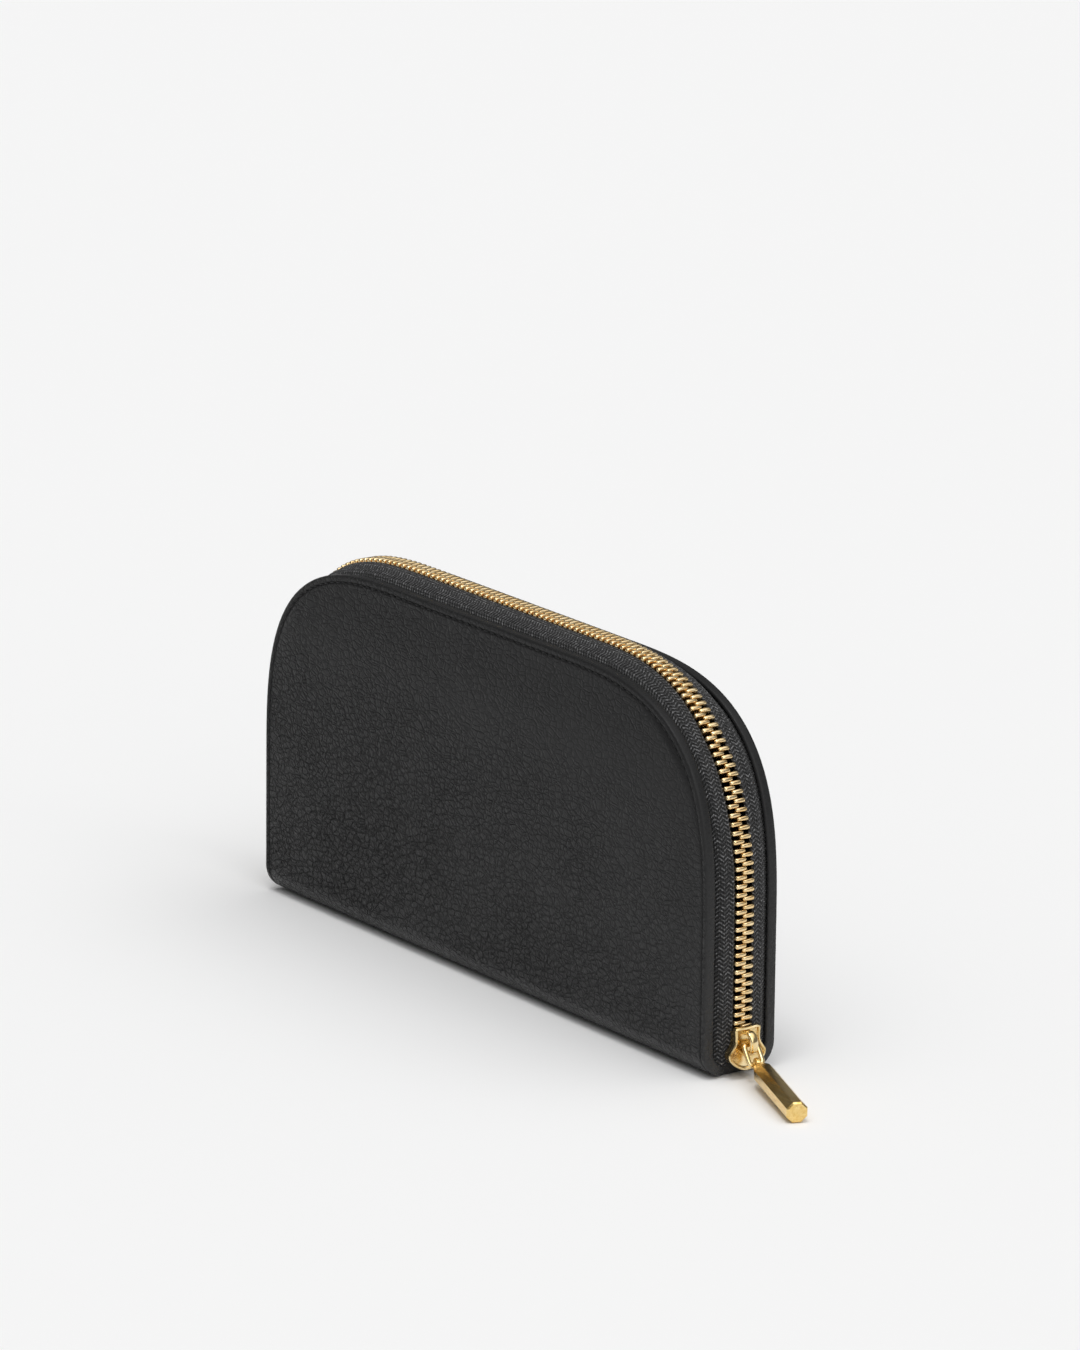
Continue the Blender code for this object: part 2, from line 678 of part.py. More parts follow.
def make_bar(material):
    """The bar and its flat eye, which the ring passes through."""
    joint, end = Vector(BAR_JOINT), Vector(BAR_END)
    body = add_body("pull_bar", BAR_JOINT)
    along = (end - joint).normalized()
    across = along.cross(Vector((0.0, 0.0, 1.0))).normalized()
    rise = across.cross(along)
    length = (end - joint).length
    radius = BAR_ACROSS_FLATS / 2 / math.cos(math.pi / 8)

    def ring(distance, ring_radius):
        turns = [math.pi / 8 + math.pi / 4 * k for k in range(8)]
        return [
            tuple(joint + along * distance + across * ring_radius * math.cos(a) + rise * ring_radius * math.sin(a))
            for a in turns
        ]

    loops = [
        ring(BAR_NECK_START, radius * BAR_NECK_SHARE),
        ring(BAR_SHOULDER, radius),
        ring(length - BAR_CHAMFER, radius),
        ring(length, radius - BAR_CHAMFER),
    ]
    points, faces = loft(loops)
    bar = add_mesh("pull_bar", points, faces, material, body)

    def arc(arc_radius, first_deg, last_deg, steps):
        turns = [math.radians(first_deg + (last_deg - first_deg) * k / steps) for k in range(steps + 1)]
        return [(arc_radius * math.cos(a), arc_radius * math.sin(a)) for a in turns]

    def flat_piece(name, outline, half_width):
        points, faces = prism(
            outline,
            lambda x, z: tuple(joint + along * x + rise * z - across * half_width),
            lambda x, z: tuple(joint + along * x + rise * z + across * half_width),
        )
        return add_mesh(name, points, faces, material, body)

    eye = arc(EYE_RADIUS, 90.0, 270.0, 6) + [(EYE_LENGTH, -EYE_RADIUS), (EYE_LENGTH, EYE_RADIUS)]
    hole = arc(EYE_HOLE_RADIUS, 0.0, 330.0, 11)
    unite(bar, [flat_piece("pull_eye_guide", eye, EYE_THICKNESS / 2)])
    cut(bar, flat_piece("pull_eye_cutter", hole, EYE_THICKNESS))
    return body


# ---------------------------------------------------------------- the wallet


def main():
    for thing in list(bpy.data.objects):
        bpy.data.objects.remove(thing, do_unlink=True)
    materials = make_materials()
    root = add_body("spine", (0.0, 0.0, 0.0))
    spine_leather(root, materials["shell_leather"])
    spine_lining(root, materials["lining"])
    coin_pocket(root, materials)
    gussets(root, materials["lining"])
    make_cover("front", FRONT, materials)
    make_cover("back", BACK, materials)
    coin_slider(materials)
    make_slider(materials["gold"])
    make_ring(materials["gold"])
    make_bar(materials["gold"])


main()
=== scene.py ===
"""The looks of a zip around wallet: grained leather covers, woven zip tapes, interlocked metal teeth,
a polished slider with its ring and bar, and the lined inside with card slots and a coin pocket.

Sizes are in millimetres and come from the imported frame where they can. A mesh is made in metres.
"""

import json
import math

import bmesh
import bpy
import numpy as np
from mathutils import Matrix, Vector, noise


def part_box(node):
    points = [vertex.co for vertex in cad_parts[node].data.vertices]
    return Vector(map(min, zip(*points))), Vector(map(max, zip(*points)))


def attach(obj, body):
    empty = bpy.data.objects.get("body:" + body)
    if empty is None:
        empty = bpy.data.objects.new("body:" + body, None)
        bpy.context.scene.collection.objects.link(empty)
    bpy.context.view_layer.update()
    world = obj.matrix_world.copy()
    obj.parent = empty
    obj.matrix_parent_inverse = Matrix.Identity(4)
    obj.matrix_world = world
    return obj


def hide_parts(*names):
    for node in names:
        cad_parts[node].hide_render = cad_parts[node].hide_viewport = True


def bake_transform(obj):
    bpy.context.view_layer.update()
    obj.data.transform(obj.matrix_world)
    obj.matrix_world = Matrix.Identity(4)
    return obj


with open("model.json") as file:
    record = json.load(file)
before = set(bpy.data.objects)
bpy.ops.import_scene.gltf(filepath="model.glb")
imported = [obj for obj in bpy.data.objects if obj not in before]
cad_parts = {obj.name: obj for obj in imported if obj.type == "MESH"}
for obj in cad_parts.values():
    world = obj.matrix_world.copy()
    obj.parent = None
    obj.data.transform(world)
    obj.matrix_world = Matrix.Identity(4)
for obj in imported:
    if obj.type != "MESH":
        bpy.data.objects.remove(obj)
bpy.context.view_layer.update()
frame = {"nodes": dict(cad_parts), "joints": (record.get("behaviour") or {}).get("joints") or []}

MM = 0.001
FRONT, BACK = -1.0, 1.0
SIDES = (("front", FRONT), ("back", BACK))


def node_box(name):
    """A CAD node's lowest and highest corner, in millimetres."""
    low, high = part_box(name)
    return low / MM, high / MM


def node_span(name):
    """A CAD node's corners, and its nearest and furthest distance from the middle plane."""
    low, high = node_box(name)
    return low, high, min(abs(low.y), abs(high.y)), max(abs(low.y), abs(high.y))


def joint_place(name):
    """A joint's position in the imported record, in millimetres."""
    found = [joint for joint in frame["joints"] if joint["name"] == name]
    return Vector(found[0]["pos_m"]) / MM


# The covers' outline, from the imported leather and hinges.
COVER_LOW, COVER_HIGH = node_box("front_leather")
HALF_LENGTH = COVER_HIGH.x
HEIGHT = COVER_HIGH.z
HALF_DEPTH = -COVER_LOW.y
HINGE = joint_place("back_cover_hinge")
HINGE_Y, HINGE_Z = HINGE.y, HINGE.z
SPINE_RADIUS = HALF_DEPTH - HINGE_Y
CORNER_X, CORNER_Z, CORNER_POWER = 60.5, 56.3, 3.0
FOOT_CORNER = 1.5

# Steps along the outline.
SIDE_STEPS, CORNER_STEPS, TOP_STEPS, WRAP_STEPS, BASE_STEPS = 10, 40, 24, 14, 4

# Leather shell.
SKIN = 1.0
EDGE_THICKNESS = 2.7
STITCH_INSET = 1.9
STITCH_PITCH = 2.7
STITCH_LENGTH = 2.0
STITCH_RADIUS = 0.22
STITCH_DEPTH = 0.12
CROWN = 0.45

# Zip.
TOOTH_PITCH = 2.12
TEETH_FOOT_RIGHT = 12.4
TEETH_FOOT_LEFT = 9.9 + 0.6
TAPE_FOOT = 3.2
TAPE_RIB = 1.1
TAPE_PITCH = 1.05
# The chain is stiffer than the covers: it stands higher along the top and cuts across the corners.
ARCH_DIP = 1.0
ARCH_DIP_START = 0.05
ARCH_DIP_REACH = 0.1
ARCH_TOP = 3.1
ARCH_TOP_START = 0.45
ARCH_SEWN_Y = 8.8
ARCH_CHAIN_Y = 3.0


# ---------------------------------------------------------------- shader helpers


class Shader:
    """A material's node tree, with short calls for the nodes used here."""

    def __init__(self, name):
        self.material = bpy.data.materials.new(name)
        self.material.use_nodes = True
        self.tree = self.material.node_tree
        self.principled = self.tree.nodes["Principled BSDF"]

    def node(self, kind, **inputs):
        made = self.tree.nodes.new(kind)
        for key, value in inputs.items():
            self.put(made, key.replace("_", " "), value)
        return made

    def put(self, node, socket, value):
        if isinstance(value, bpy.types.NodeSocket):
            self.tree.links.new(value, node.inputs[socket])
        else:
            node.inputs[socket].default_value = value

    def set(self, **inputs):
        for key, value in inputs.items():
            self.put(self.principled, key.replace("_", " "), value)

    def place(self, scale=(1.0, 1.0, 1.0)):
        """The point on the object in metres, stretched by scale."""
        coordinates = self.node("ShaderNodeTexCoord")
        mapping = self.node("ShaderNodeMapping", Vector=coordinates.outputs["Object"], Scale=scale)
        return mapping.outputs["Vector"]

    def attribute(self, name):
        made = self.tree.nodes.new("ShaderNodeAttribute")
        made.attribute_name = name
        return made.outputs["Fac"]

    def noise(self, vector, scale, detail=3.0, roughness=0.5):
        made = self.node("ShaderNodeTexNoise", Vector=vector, Scale=scale, Detail=detail, Roughness=roughness)
        return made.outputs["Fac"]

    def cells(self, vector, scale, feature="F1"):
        made = self.node("ShaderNodeTexVoronoi", Vector=vector, Scale=scale, Randomness=1.0)
        made.feature = feature
        return made.outputs["Distance"]

    def warped(self, vector, scale, reach):
        """The vector pushed about by noise, up to reach metres."""
        push = self.node("ShaderNodeTexNoise", Vector=vector, Scale=scale, Detail=2.0).outputs["Color"]
        made = self.tree.nodes.new("ShaderNodeVectorMath")
        made.operation = "MULTIPLY_ADD"
        self.tree.links.new(push, made.inputs[0])
        made.inputs[1].default_value = (reach, reach, reach)
        self.tree.links.new(vector, made.inputs[2])
        return made.outputs[0]

    def math(self, operation, first, second=0.0, clamp=False):
        made = self.tree.nodes.new("ShaderNodeMath")
        made.operation = operation
        made.use_clamp = clamp
        for socket, value in zip(made.inputs, (first, second)):
            if isinstance(value, bpy.types.NodeSocket):
                self.tree.links.new(value, socket)
            else:
                socket.default_value = value
        return made.outputs[0]

    def times(self, first, second):
        return self.math("MULTIPLY", first, second)

    def plus(self, first, second, clamp=False):
        return self.math("ADD", first, second, clamp)

    def sine(self, value):
        return self.math("SINE", value)

    def parts(self, vector):
        """The three sockets of a vector's parts."""
        made = self.tree.nodes.new("ShaderNodeSeparateXYZ")
        self.tree.links.new(vector, made.inputs[0])
        return made.outputs

    def ramp(self, value, low, high, out_low=0.0, out_high=1.0):
        made = self.tree.nodes.new("ShaderNodeMapRange")
        for key, number in (("From Min", low), ("From Max", high), ("To Min", out_low), ("To Max", out_high)):
            made.inputs[key].default_value = number
        self.tree.links.new(value, made.inputs["Value"])
        return made.outputs["Result"]

    def mix(self, share, first, second):
        made = self.tree.nodes.new("ShaderNodeMix")
        made.data_type = "RGBA"
        self.put(made, 0, share)
        for index, colour in ((6, first), (7, second)):
            if isinstance(colour, bpy.types.NodeSocket):
                self.tree.links.new(colour, made.inputs[index])
            else:
                made.inputs[index].default_value = (*colour, 1.0)
        return made.outputs[2]

    def bump(self, height, distance_mm):
        made = self.node("ShaderNodeBump", Height=height, Distance=distance_mm * MM, Strength=1.0)
        return made.outputs["Normal"]


# ---------------------------------------------------------------- materials


# Painted shade: the leather is painted darker towards the top of the wallet, where less light falls, down to
# this share of its tone.
PAINTED_SHADE_AT_TOP = 0.35


def leather(name, dark, light, grain_mm, grain_depth_mm, roughness):
    """Tumbled leather: pebbles between fine creases darkened by painted shade, calmer upwards, to the right
    and on the edges; painted shade also darkens it towards the top.
    """
    shader = Shader(name)
    place = shader.place()
    warped = shader.warped(shader.place((0.72, 1.0, 1.15)), 210.0, 0.0022)
    warped = shader.warped(warped, 800.0, 0.0004)
    crease = shader.cells(warped, 1.0 / (grain_mm * MM), "DISTANCE_TO_EDGE")
    broad = shader.cells(warped, 0.42 / (grain_mm * MM), "DISTANCE_TO_EDGE")
    fine = shader.cells(warped, 2.1 / (grain_mm * MM), "DISTANCE_TO_EDGE")
    pebble = shader.ramp(crease, 0.0, 0.16)
    patch = shader.ramp(broad, 0.0, 0.09)
    small = shader.ramp(fine, 0.0, 0.2)
    x, y, z = shader.parts(place)
    face = shader.ramp(shader.math("ABSOLUTE", y), (HALF_DEPTH - 0.5) * MM, (HALF_DEPTH + 0.1) * MM, 0.3)
    leftward = shader.ramp(x, -0.06, 0.09, 1.0, 0.4)
    downward = shader.ramp(z, 0.02, 0.07, 1.0, 0.15)
    calm = shader.ramp(shader.noise(place, 42.0, 2.0), 0.38, 0.62, 0.6, 1.0)
    strength = shader.times(shader.times(leftward, downward), face)
    strength = shader.times(strength, calm)
    lines = shader.plus(pebble, shader.times(patch, 0.8))
    height = shader.times(shader.plus(lines, shader.times(small, 0.25)), strength)
    pores = shader.noise(place, 2600.0, 3.0, 0.6)
    surface = shader.plus(height, shader.times(pores, 0.03))
    # Painted shade in the creases: the colour darkens along them, most where the grain is strongest.
    crease_shade = shader.times(shader.math("SUBTRACT", 1.8, lines), shader.times(strength, 0.5))
    tone = shader.plus(shader.math("SUBTRACT", 0.85, crease_shade), shader.times(pores, 0.2), clamp=True)
    # Painted shade, darker towards the top of the wallet.
    tone = shader.times(tone, shader.ramp(z, 0.0, 0.08, 1.0, PAINTED_SHADE_AT_TOP))
    rough = shader.ramp(shader.plus(pebble, pores), 0.2, 1.6, roughness + 0.12, roughness - 0.06)
    shader.set(
        Base_Color=shader.mix(tone, dark, light),
        Roughness=shader.plus(rough, shader.ramp(face, 0.3, 1.0, -0.14, 0.0)),
        Normal=shader.bump(surface, grain_depth_mm),
    )
    shader.set(Specular_IOR_Level=0.13)
    return shader.material


def smooth_leather(name, dark, light, roughness):
    """Edge and slot leather, with only a fine grain."""
    shader = Shader(name)
    place = shader.place()
    grain = shader.cells(place, 1500.0)
    pores = shader.noise(place, 3200.0, 3.0, 0.6)
    cloud = shader.noise(place, 90.0, 3.0)
    height = shader.plus(grain, shader.times(pores, 0.5))
    shader.set(
        Base_Color=shader.mix(shader.ramp(cloud, 0.3, 0.7), dark, light),
        Roughness=shader.ramp(cloud, 0.3, 0.7, roughness + 0.06, roughness - 0.05),
        Normal=shader.bump(height, 0.06),
    )
    shader.set(Specular_IOR_Level=0.4)
    return shader.material


def woven(name, dark, light, rib_mm, thread_mm, depth_mm, roughness=0.85):
    """Herringbone cloth that follows the piece: the along and across attributes are metres on the strip."""
    shader = Shader(name)
    along, across = shader.attribute("along"), shader.attribute("across")
    fold = shader.math("PINGPONG", across, rib_mm * MM)
    slant = shader.plus(along, shader.times(fold, 0.8))
    wave = shader.sine(shader.times(slant, 2 * math.pi / (thread_mm * MM)))
    yarn = shader.sine(shader.times(across, 2 * math.pi / (thread_mm * 0.55 * MM)))
    fuzz = shader.noise(shader.place(), 3000.0, 3.0, 0.65)
    speck = shader.noise(shader.place(), 1500.0, 2.0, 0.7)
    twill = shader.ramp(wave, -0.5, 0.8)
    cloth = shader.plus(twill, shader.times(shader.ramp(yarn, -1.0, 1.0), 0.35))
    height = shader.plus(cloth, shader.times(fuzz, 0.5))
    bright = shader.times(shader.ramp(speck, 0.47, 0.62), shader.ramp(cloth, 0.75, 1.2))
    tone = shader.plus(shader.times(bright, 0.9), shader.times(cloth, 0.1), clamp=True)
    shader.set(
        Base_Color=shader.mix(tone, dark, light),
        Roughness=shader.ramp(fuzz, 0.3, 0.7, roughness, roughness - 0.2),
        Normal=shader.bump(height, depth_mm),
    )
    shader.set(Specular_IOR_Level=0.35, Sheen_Weight=0.1, Sheen_Roughness=0.5)
    return shader.material


def lining_cloth(name, dark, light):
    """Fine plain weave in object space."""
    shader = Shader(name)
    place = shader.place()
    x, _, z = shader.parts(place)
    pitch = 2 * math.pi / (0.42 * MM)
    warp = shader.sine(shader.times(x, pitch))
    weft = shader.sine(shader.times(z, pitch))
    weave = shader.times(warp, weft)
    fuzz = shader.noise(place, 2200.0, 3.0, 0.6)
    height = shader.plus(shader.ramp(weave, -1.0, 1.0), shader.times(fuzz, 0.5))
    cloud = shader.noise(place, 60.0, 2.0)
    tone = shader.plus(shader.times(height, 0.5), shader.times(cloud, 0.3))
    shader.set(
        Base_Color=shader.mix(tone, dark, light),
        Roughness=shader.ramp(fuzz, 0.3, 0.7, 0.9, 0.75),
        Normal=shader.bump(height, 0.05),
    )
    shader.set(Specular_IOR_Level=0.25)
    return shader.material


def gold(name, pale, deep, roughness, brushed_mm=0.0, stretch=1.0):
    """Plated metal, its tone varying at random between pale and deep, with fine wear marks."""
    shader = Shader(name)
    place = shader.place((stretch, 1.0, 1.0))
    cloud = shader.noise(place, 420.0 / stretch**0.5, 3.0)
    fine = shader.noise(shader.place((0.25 * stretch, 1.0, 1.0)), 5200.0, 4.0, 0.6)
    tone = shader.plus(shader.times(cloud, 0.7), shader.times(fine, 0.3))
    shader.set(
        Base_Color=shader.mix(shader.ramp(tone, 0.35, 0.65), deep, pale),
        Roughness=shader.ramp(fine, 0.3, 0.7, roughness - 0.03, roughness + 0.06),
        Normal=shader.bump(shader.plus(fine, cloud), 0.012 + brushed_mm),
    )
    shader.set(Metallic=1.0)
    return shader.material


def thread_material():
    shader = Shader("thread_twist")
    twist = shader.sine(shader.times(shader.attribute("along"), 2 * math.pi / (0.45 * MM)))
    fuzz = shader.noise(shader.place(), 4200.0, 2.0)
    height = shader.plus(shader.ramp(twist, -1.0, 1.0), fuzz)
    shader.set(
        Base_Color=shader.mix(shader.times(height, 0.5), (0.001, 0.001, 0.001), (0.005, 0.005, 0.0055)),
        Roughness=shader.ramp(fuzz, 0.3, 0.7, 0.75, 0.6),
        Normal=shader.bump(height, 0.05),
    )
    return shader.material


def paperboard():
    shader = Shader("paperboard")
    place = shader.place()
    fibre = shader.noise(place, 900.0, 5.0, 0.65)
    shader.set(
        Base_Color=shader.mix(fibre, (0.18, 0.14, 0.1), (0.32, 0.27, 0.2)),
        Roughness=shader.ramp(fibre, 0.3, 0.7, 0.95, 0.85),
        Normal=shader.bump(fibre, 0.05),
    )
    return shader.material


def floor_material():
    shader = Shader("studio_floor")
    cloud = shader.noise(shader.place(), 3.0, 2.0)
    shader.set(
        Base_Color=shader.mix(cloud, (0.9, 0.9, 0.9), (0.905, 0.905, 0.905)),
        Roughness=shader.ramp(cloud, 0.3, 0.7, 0.9, 0.92),
    )
    shader.set(Specular_IOR_Level=0.0)
    return shader.material


MATERIALS = {
    "shell": leather("tumbled_leather", (0.003, 0.003, 0.0032), (0.046, 0.046, 0.0465), 1.7, 0.95, 0.46),
    "slot": smooth_leather("slot_leather_fine", (0.01, 0.01, 0.0105), (0.019, 0.019, 0.02), 0.5),
    "lining": lining_cloth("lining_weave", (0.012, 0.012, 0.013), (0.035, 0.035, 0.038)),
    "tape": woven("zip_tape_weave", (0.0008, 0.0008, 0.001), (0.22, 0.22, 0.225), TAPE_RIB, TAPE_PITCH, 0.3),
    "thread": thread_material(),
    "teeth": gold("teeth_gold", (0.98, 0.79, 0.48), (0.78, 0.54, 0.25), 0.22),
    "gold": gold("polished_gold", (0.95, 0.78, 0.46), (0.74, 0.52, 0.2), 0.13),
    "bar": gold("bar_gold", (0.96, 0.73, 0.32), (0.78, 0.5, 0.14), 0.13, 0.05, 0.1),
    "board": paperboard(),
    "floor": floor_material(),
}


# ---------------------------------------------------------------- mesh helpers


def added(name, data):
    """A new object in the scene."""
    thing = bpy.data.objects.new(name, data)
    bpy.context.scene.collection.objects.link(thing)
    return thing


def placed(thing, body, slot, *cad_names):
    """Lets a piece ride on a body and stand for CAD nodes; the slot argument is not used."""
    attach(thing, body)
    if cad_names:
        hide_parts(*cad_names)


def bend_under(thing):
    """Bakes a piece's placement into its mesh."""
    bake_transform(thing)


def make_piece(name, points_mm, faces, material, smooth_deg=40.0, attributes=None, merge=True):
    """A mesh object from points in millimetres, with its faces turned outwards."""
    mesh = bpy.data.meshes.new(name)
    mesh.from_pydata([tuple(float(c) * MM for c in point) for point in points_mm], [], faces)
    for key, values in (attributes or {}).items():
        layer = mesh.attributes.new(key, "FLOAT", "POINT")
        layer.data.foreach_set("value", np.asarray(values, np.float32))
    shape = bmesh.new()
    shape.from_mesh(mesh)
    if merge:
        bmesh.ops.remove_doubles(shape, verts=shape.verts, dist=1e-7)
    bmesh.ops.recalc_face_normals(shape, faces=shape.faces)
    shape.to_mesh(mesh)
    shape.free()
    mesh.shade_smooth()
    mesh.set_sharp_from_angle(angle=math.radians(smooth_deg))
    mesh.materials.append(material)
    return added(name, mesh)


def band_faces(rows, count, closed_rows=False, closed_columns=False):
    """Quads between rows of count points."""
    faces = []
    for row in range(rows if closed_rows else rows - 1):
        low, high = row * count, ((row + 1) % rows) * count
        for k in range(count if closed_columns else count - 1):
            after = (k + 1) % count
            faces.append((low + k, low + after, high + after, high + k))
    return faces


def end_faces(rows, count):
    """The first and the last of rows of count points, as faces."""
    last = (rows - 1) * count
    return [tuple(range(count)), tuple(range(last, last + count))]


def loft(loops, closed=False):
    """Points and faces of a solid through closed loops, with a cap at each end unless the loops close."""
    count = len(loops[0])
    points = [point for loop in loops for point in loop]
    faces = band_faces(len(loops), count, closed, True)
    if not closed:
        faces += end_faces(len(loops), count)
    return points, faces


class Heap:
    """Collects many small solids into one mesh."""

    def __init__(self):
        self.points = []
        self.faces = []
        self.along = []

    def add(self, points, faces, along=0.0):
        base = len(self.points)
        self.points.extend(points)
        self.faces.extend(tuple(index + base for index in face) for face in faces)
        if np.ndim(along) == 0:
            along = [along] * len(points)
        self.along.extend(along)

    def piece(self, name, material, smooth_deg=40.0):
        attributes = {"along": self.along}
        return make_piece(name, self.points, self.faces, material, smooth_deg, attributes, merge=False)


def squircle(corners, power=1.0, offset=0.0):
    """(across, up) round a loop of radius 1, which gets squarer as power falls below 1."""
    found = []
    for k in range(corners):
        turn = 2 * math.pi * (k + offset) / corners
        c, s = math.cos(turn), math.sin(turn)
        found.append((math.copysign(abs(c) ** power, c), math.copysign(abs(s) ** power, s)))
    return found


def rounded_rectangle(half, low, high, corner, steps):
    """Points round an upright rectangle, with an arc of so many steps at each corner."""
    found = []
    for across, up, first in (
        (half - corner, high - corner, 0.0),
        (-half + corner, high - corner, 90.0),
        (-half + corner, low + corner, 180.0),
        (half - corner, low + corner, 270.0),
    ):
        for k in range(steps + 1):
            turn = math.radians(first + 90.0 / steps * k)
            found.append((across + corner * math.cos(turn), up + corner * math.sin(turn)))
    return found


def smoothstep(value, low, high):
    share = min(max((value - low) / (high - low), 0.0), 1.0)
    return share * share * (3 - 2 * share)


def evaluated(thing):
    """Bakes a thing's modifiers into its mesh."""
    bpy.context.view_layer.update()
    graph = bpy.context.evaluated_depsgraph_get()
    mesh = bpy.data.meshes.new_from_object(thing.evaluated_get(graph))
    thing.modifiers.clear()
    thing.data = mesh


def united(thing, others):
    """Makes thing one closed mesh with the others, which are used up."""
    for other in others:
        joint = thing.modifiers.new(other.name, "BOOLEAN")
        joint.operation = "UNION"
        joint.solver = "EXACT"
        joint.object = other
    evaluated(thing)
    for other in others:
        bpy.data.objects.remove(other)
    thing.data.shade_smooth()
    thing.data.set_sharp_from_angle(angle=math.radians(35.0))


def softened(thing, width_mm):
    """Rounds a thing's hard edges."""
    bevel = thing.modifiers.new("soft_edges", "BEVEL")
    bevel.width = width_mm * MM
    bevel.segments = 2
    bevel.limit_method = "ANGLE"
    bevel.angle_limit = math.radians(30.0)
    bevel.use_clamp_overlap = True


# ---------------------------------------------------------------- the outline


def corner_point(share):
    """(x, z, outward normal) on the right top corner, from 0 on the side to 1 on the top."""
    turn = share * math.pi / 2
    c, s = max(math.cos(turn), 0.0), max(math.sin(turn), 0.0)
    x = HALF_LENGTH - CORNER_X + CORNER_X * c ** (2 / CORNER_POWER)
    z = HEIGHT - CORNER_Z + CORNER_Z * s ** (2 / CORNER_POWER)
    slope_x = (max(x - HALF_LENGTH + CORNER_X, 0.0) / CORNER_X) ** (CORNER_POWER - 1) / CORNER_X
    slope_z = (max(z - HEIGHT + CORNER_Z, 0.0) / CORNER_Z) ** (CORNER_POWER - 1) / CORNER_Z
    normal = Vector((slope_x, slope_z)).normalized()
    return x, z, normal.x, normal.y


FINE_STEPS = 1500
FINE_CORNER = [corner_point(k / FINE_STEPS) for k in range(FINE_STEPS + 1)]


def resampled(line, wanted):
    """Points on a fine line of (x, z, nx, nz) at the wanted distances along it."""
    table = np.array(line)
    run = np.concatenate([[0.0], np.cumsum(np.hypot(*np.diff(table[:, :2], axis=0).T))])
    columns = [np.interp(wanted, run, table[:, k]) for k in range(4)]
    found = np.stack(columns, axis=1)
    found[:, 2:] /= np.linalg.norm(found[:, 2:], axis=1, keepdims=True)
    return found


def fine_outline(foot_right, foot_left):
    """The outline as a fine line, from the right foot over the top to the left foot."""
    left = [(-x, z, -nx, nz) for x, z, nx, nz in reversed(FINE_CORNER)]
    return [(HALF_LENGTH, foot_right, 1.0, 0.0), *FINE_CORNER, *left, (-HALF_LENGTH, foot_left, -1.0, 0.0)]


def outline_length(line):
    table = np.array(line)[:, :2]
    return float(np.hypot(*np.diff(table, axis=0).T).sum())


def end_of_spine(z):
    """Half the wallet's length at a height: its lower corners are rounded."""
    if z >= FOOT_CORNER:
        return HALF_LENGTH
    return HALF_LENGTH - FOOT_CORNER + math.sqrt(max(FOOT_CORNER**2 - (FOOT_CORNER - z) ** 2, 0.0))


class Edge:
    """One place on a cover's edge: out points away from the outline, deep from the outer face inwards."""

    def __init__(self, origin, out, deep, flat):
        self.origin = Vector(origin)
        self.out = Vector(out)
        self.deep = Vector(deep)
        self.flat = flat

    def at(self, out, depth):
        return self.origin + self.out * out + self.deep * depth


def cover_edges(side):
    """Edges of a cover, from the middle of the base under the right end, over the top, to the left end."""
    upper = []
    corner = resampled(FINE_CORNER, np.linspace(0.0, outline_length(FINE_CORNER), CORNER_STEPS + 1))
    right = [(HALF_LENGTH, z, 1.0, 0.0) for z in np.linspace(HINGE_Z, HEIGHT - CORNER_Z, SIDE_STEPS + 1)[:-1]]
    flat_half = HALF_LENGTH - CORNER_X
    top = [(x, HEIGHT, 0.0, 1.0) for x in np.linspace(flat_half, -flat_half, TOP_STEPS + 1)[1:-1]]
    half = right + [tuple(row) for row in corner]
    stations = half + top + [(-x, z, -nx, nz) for x, z, nx, nz in reversed(half)]
    for x, z, nx, nz in stations:
        upper.append(Edge((x, side * HALF_DEPTH, z), (nx, 0, nz), (0, -side, 0), True))

    def under(end):
        """The wrap under one end, from the middle of the base up to the hinge's height."""
        found = []
        for k in range(BASE_STEPS):
            y = HINGE_Y * k / BASE_STEPS
            found.append(Edge((end * end_of_spine(0.0), side * y, 0.0), (end, 0, 0), (0, 0, 1), False))
        for k in range(WRAP_STEPS):
            turn = math.pi / 2 * (1 - k / WRAP_STEPS)
            y = HINGE_Y + SPINE_RADIUS * math.cos(turn)
            z = HINGE_Z - SPINE_RADIUS * math.sin(turn)
            deep = (0, -side * math.cos(turn), math.sin(turn))
            found.append(Edge((end * end_of_spine(z), side * y, z), (end, 0, 0), deep, False))
        return found

    return under(1.0) + upper + under(-1.0)[::-1]


def face_point(edge, inset, share):
    """A point on the face: inset from an edge, then drawn in by share towards the middle."""
    rim = edge.at(-inset, 0.0)
    if edge.flat:
        return Vector((rim.x * share, rim.y, HINGE_Z + (rim.z - HINGE_Z) * share))
    return Vector((rim.x * share, rim.y, rim.z))


def shell(name, side, face_insets, face_shares, section, inner_depth, material, lift=None):
    """A closed sheet over a whole cover and round under it to the middle of the base.

    section is the edge from the outer face to the inner one, as (out, depth) points.
    """
    edges = cover_edges(side)
    deepest_inset = face_insets[0]
    columns = []
    for edge in edges:
        outer = [(face_point(edge, deepest_inset, share), edge.deep, share) for share in face_shares]
        outer += [(face_point(edge, inset, 1.0), edge.deep, 1.0) for inset in face_insets[1:]]
        column = [point - deep * (lift(point) if lift else 0.0) for point, deep, share in outer]
        column += [edge.at(out, depth) for out, depth in section]
        column += [point + deep * inner_depth for point, deep, share in reversed(outer)]
        columns.append(column)
    count = len(columns[0])
    points = [tuple(point) for column in columns for point in column]
    faces = band_faces(len(columns), count) + end_faces(len(columns), count)
    return make_piece(name, points, faces, material, 50.0)


# ---------------------------------------------------------------- leather covers


# The unevenness of glued leather: how often it comes in a millimetre, and how high it is.
WAVE_RATE, WAVE_HEIGHT = 0.045, 0.10
RIPPLE_RATE, RIPPLE_HEIGHT = 0.16, 0.025


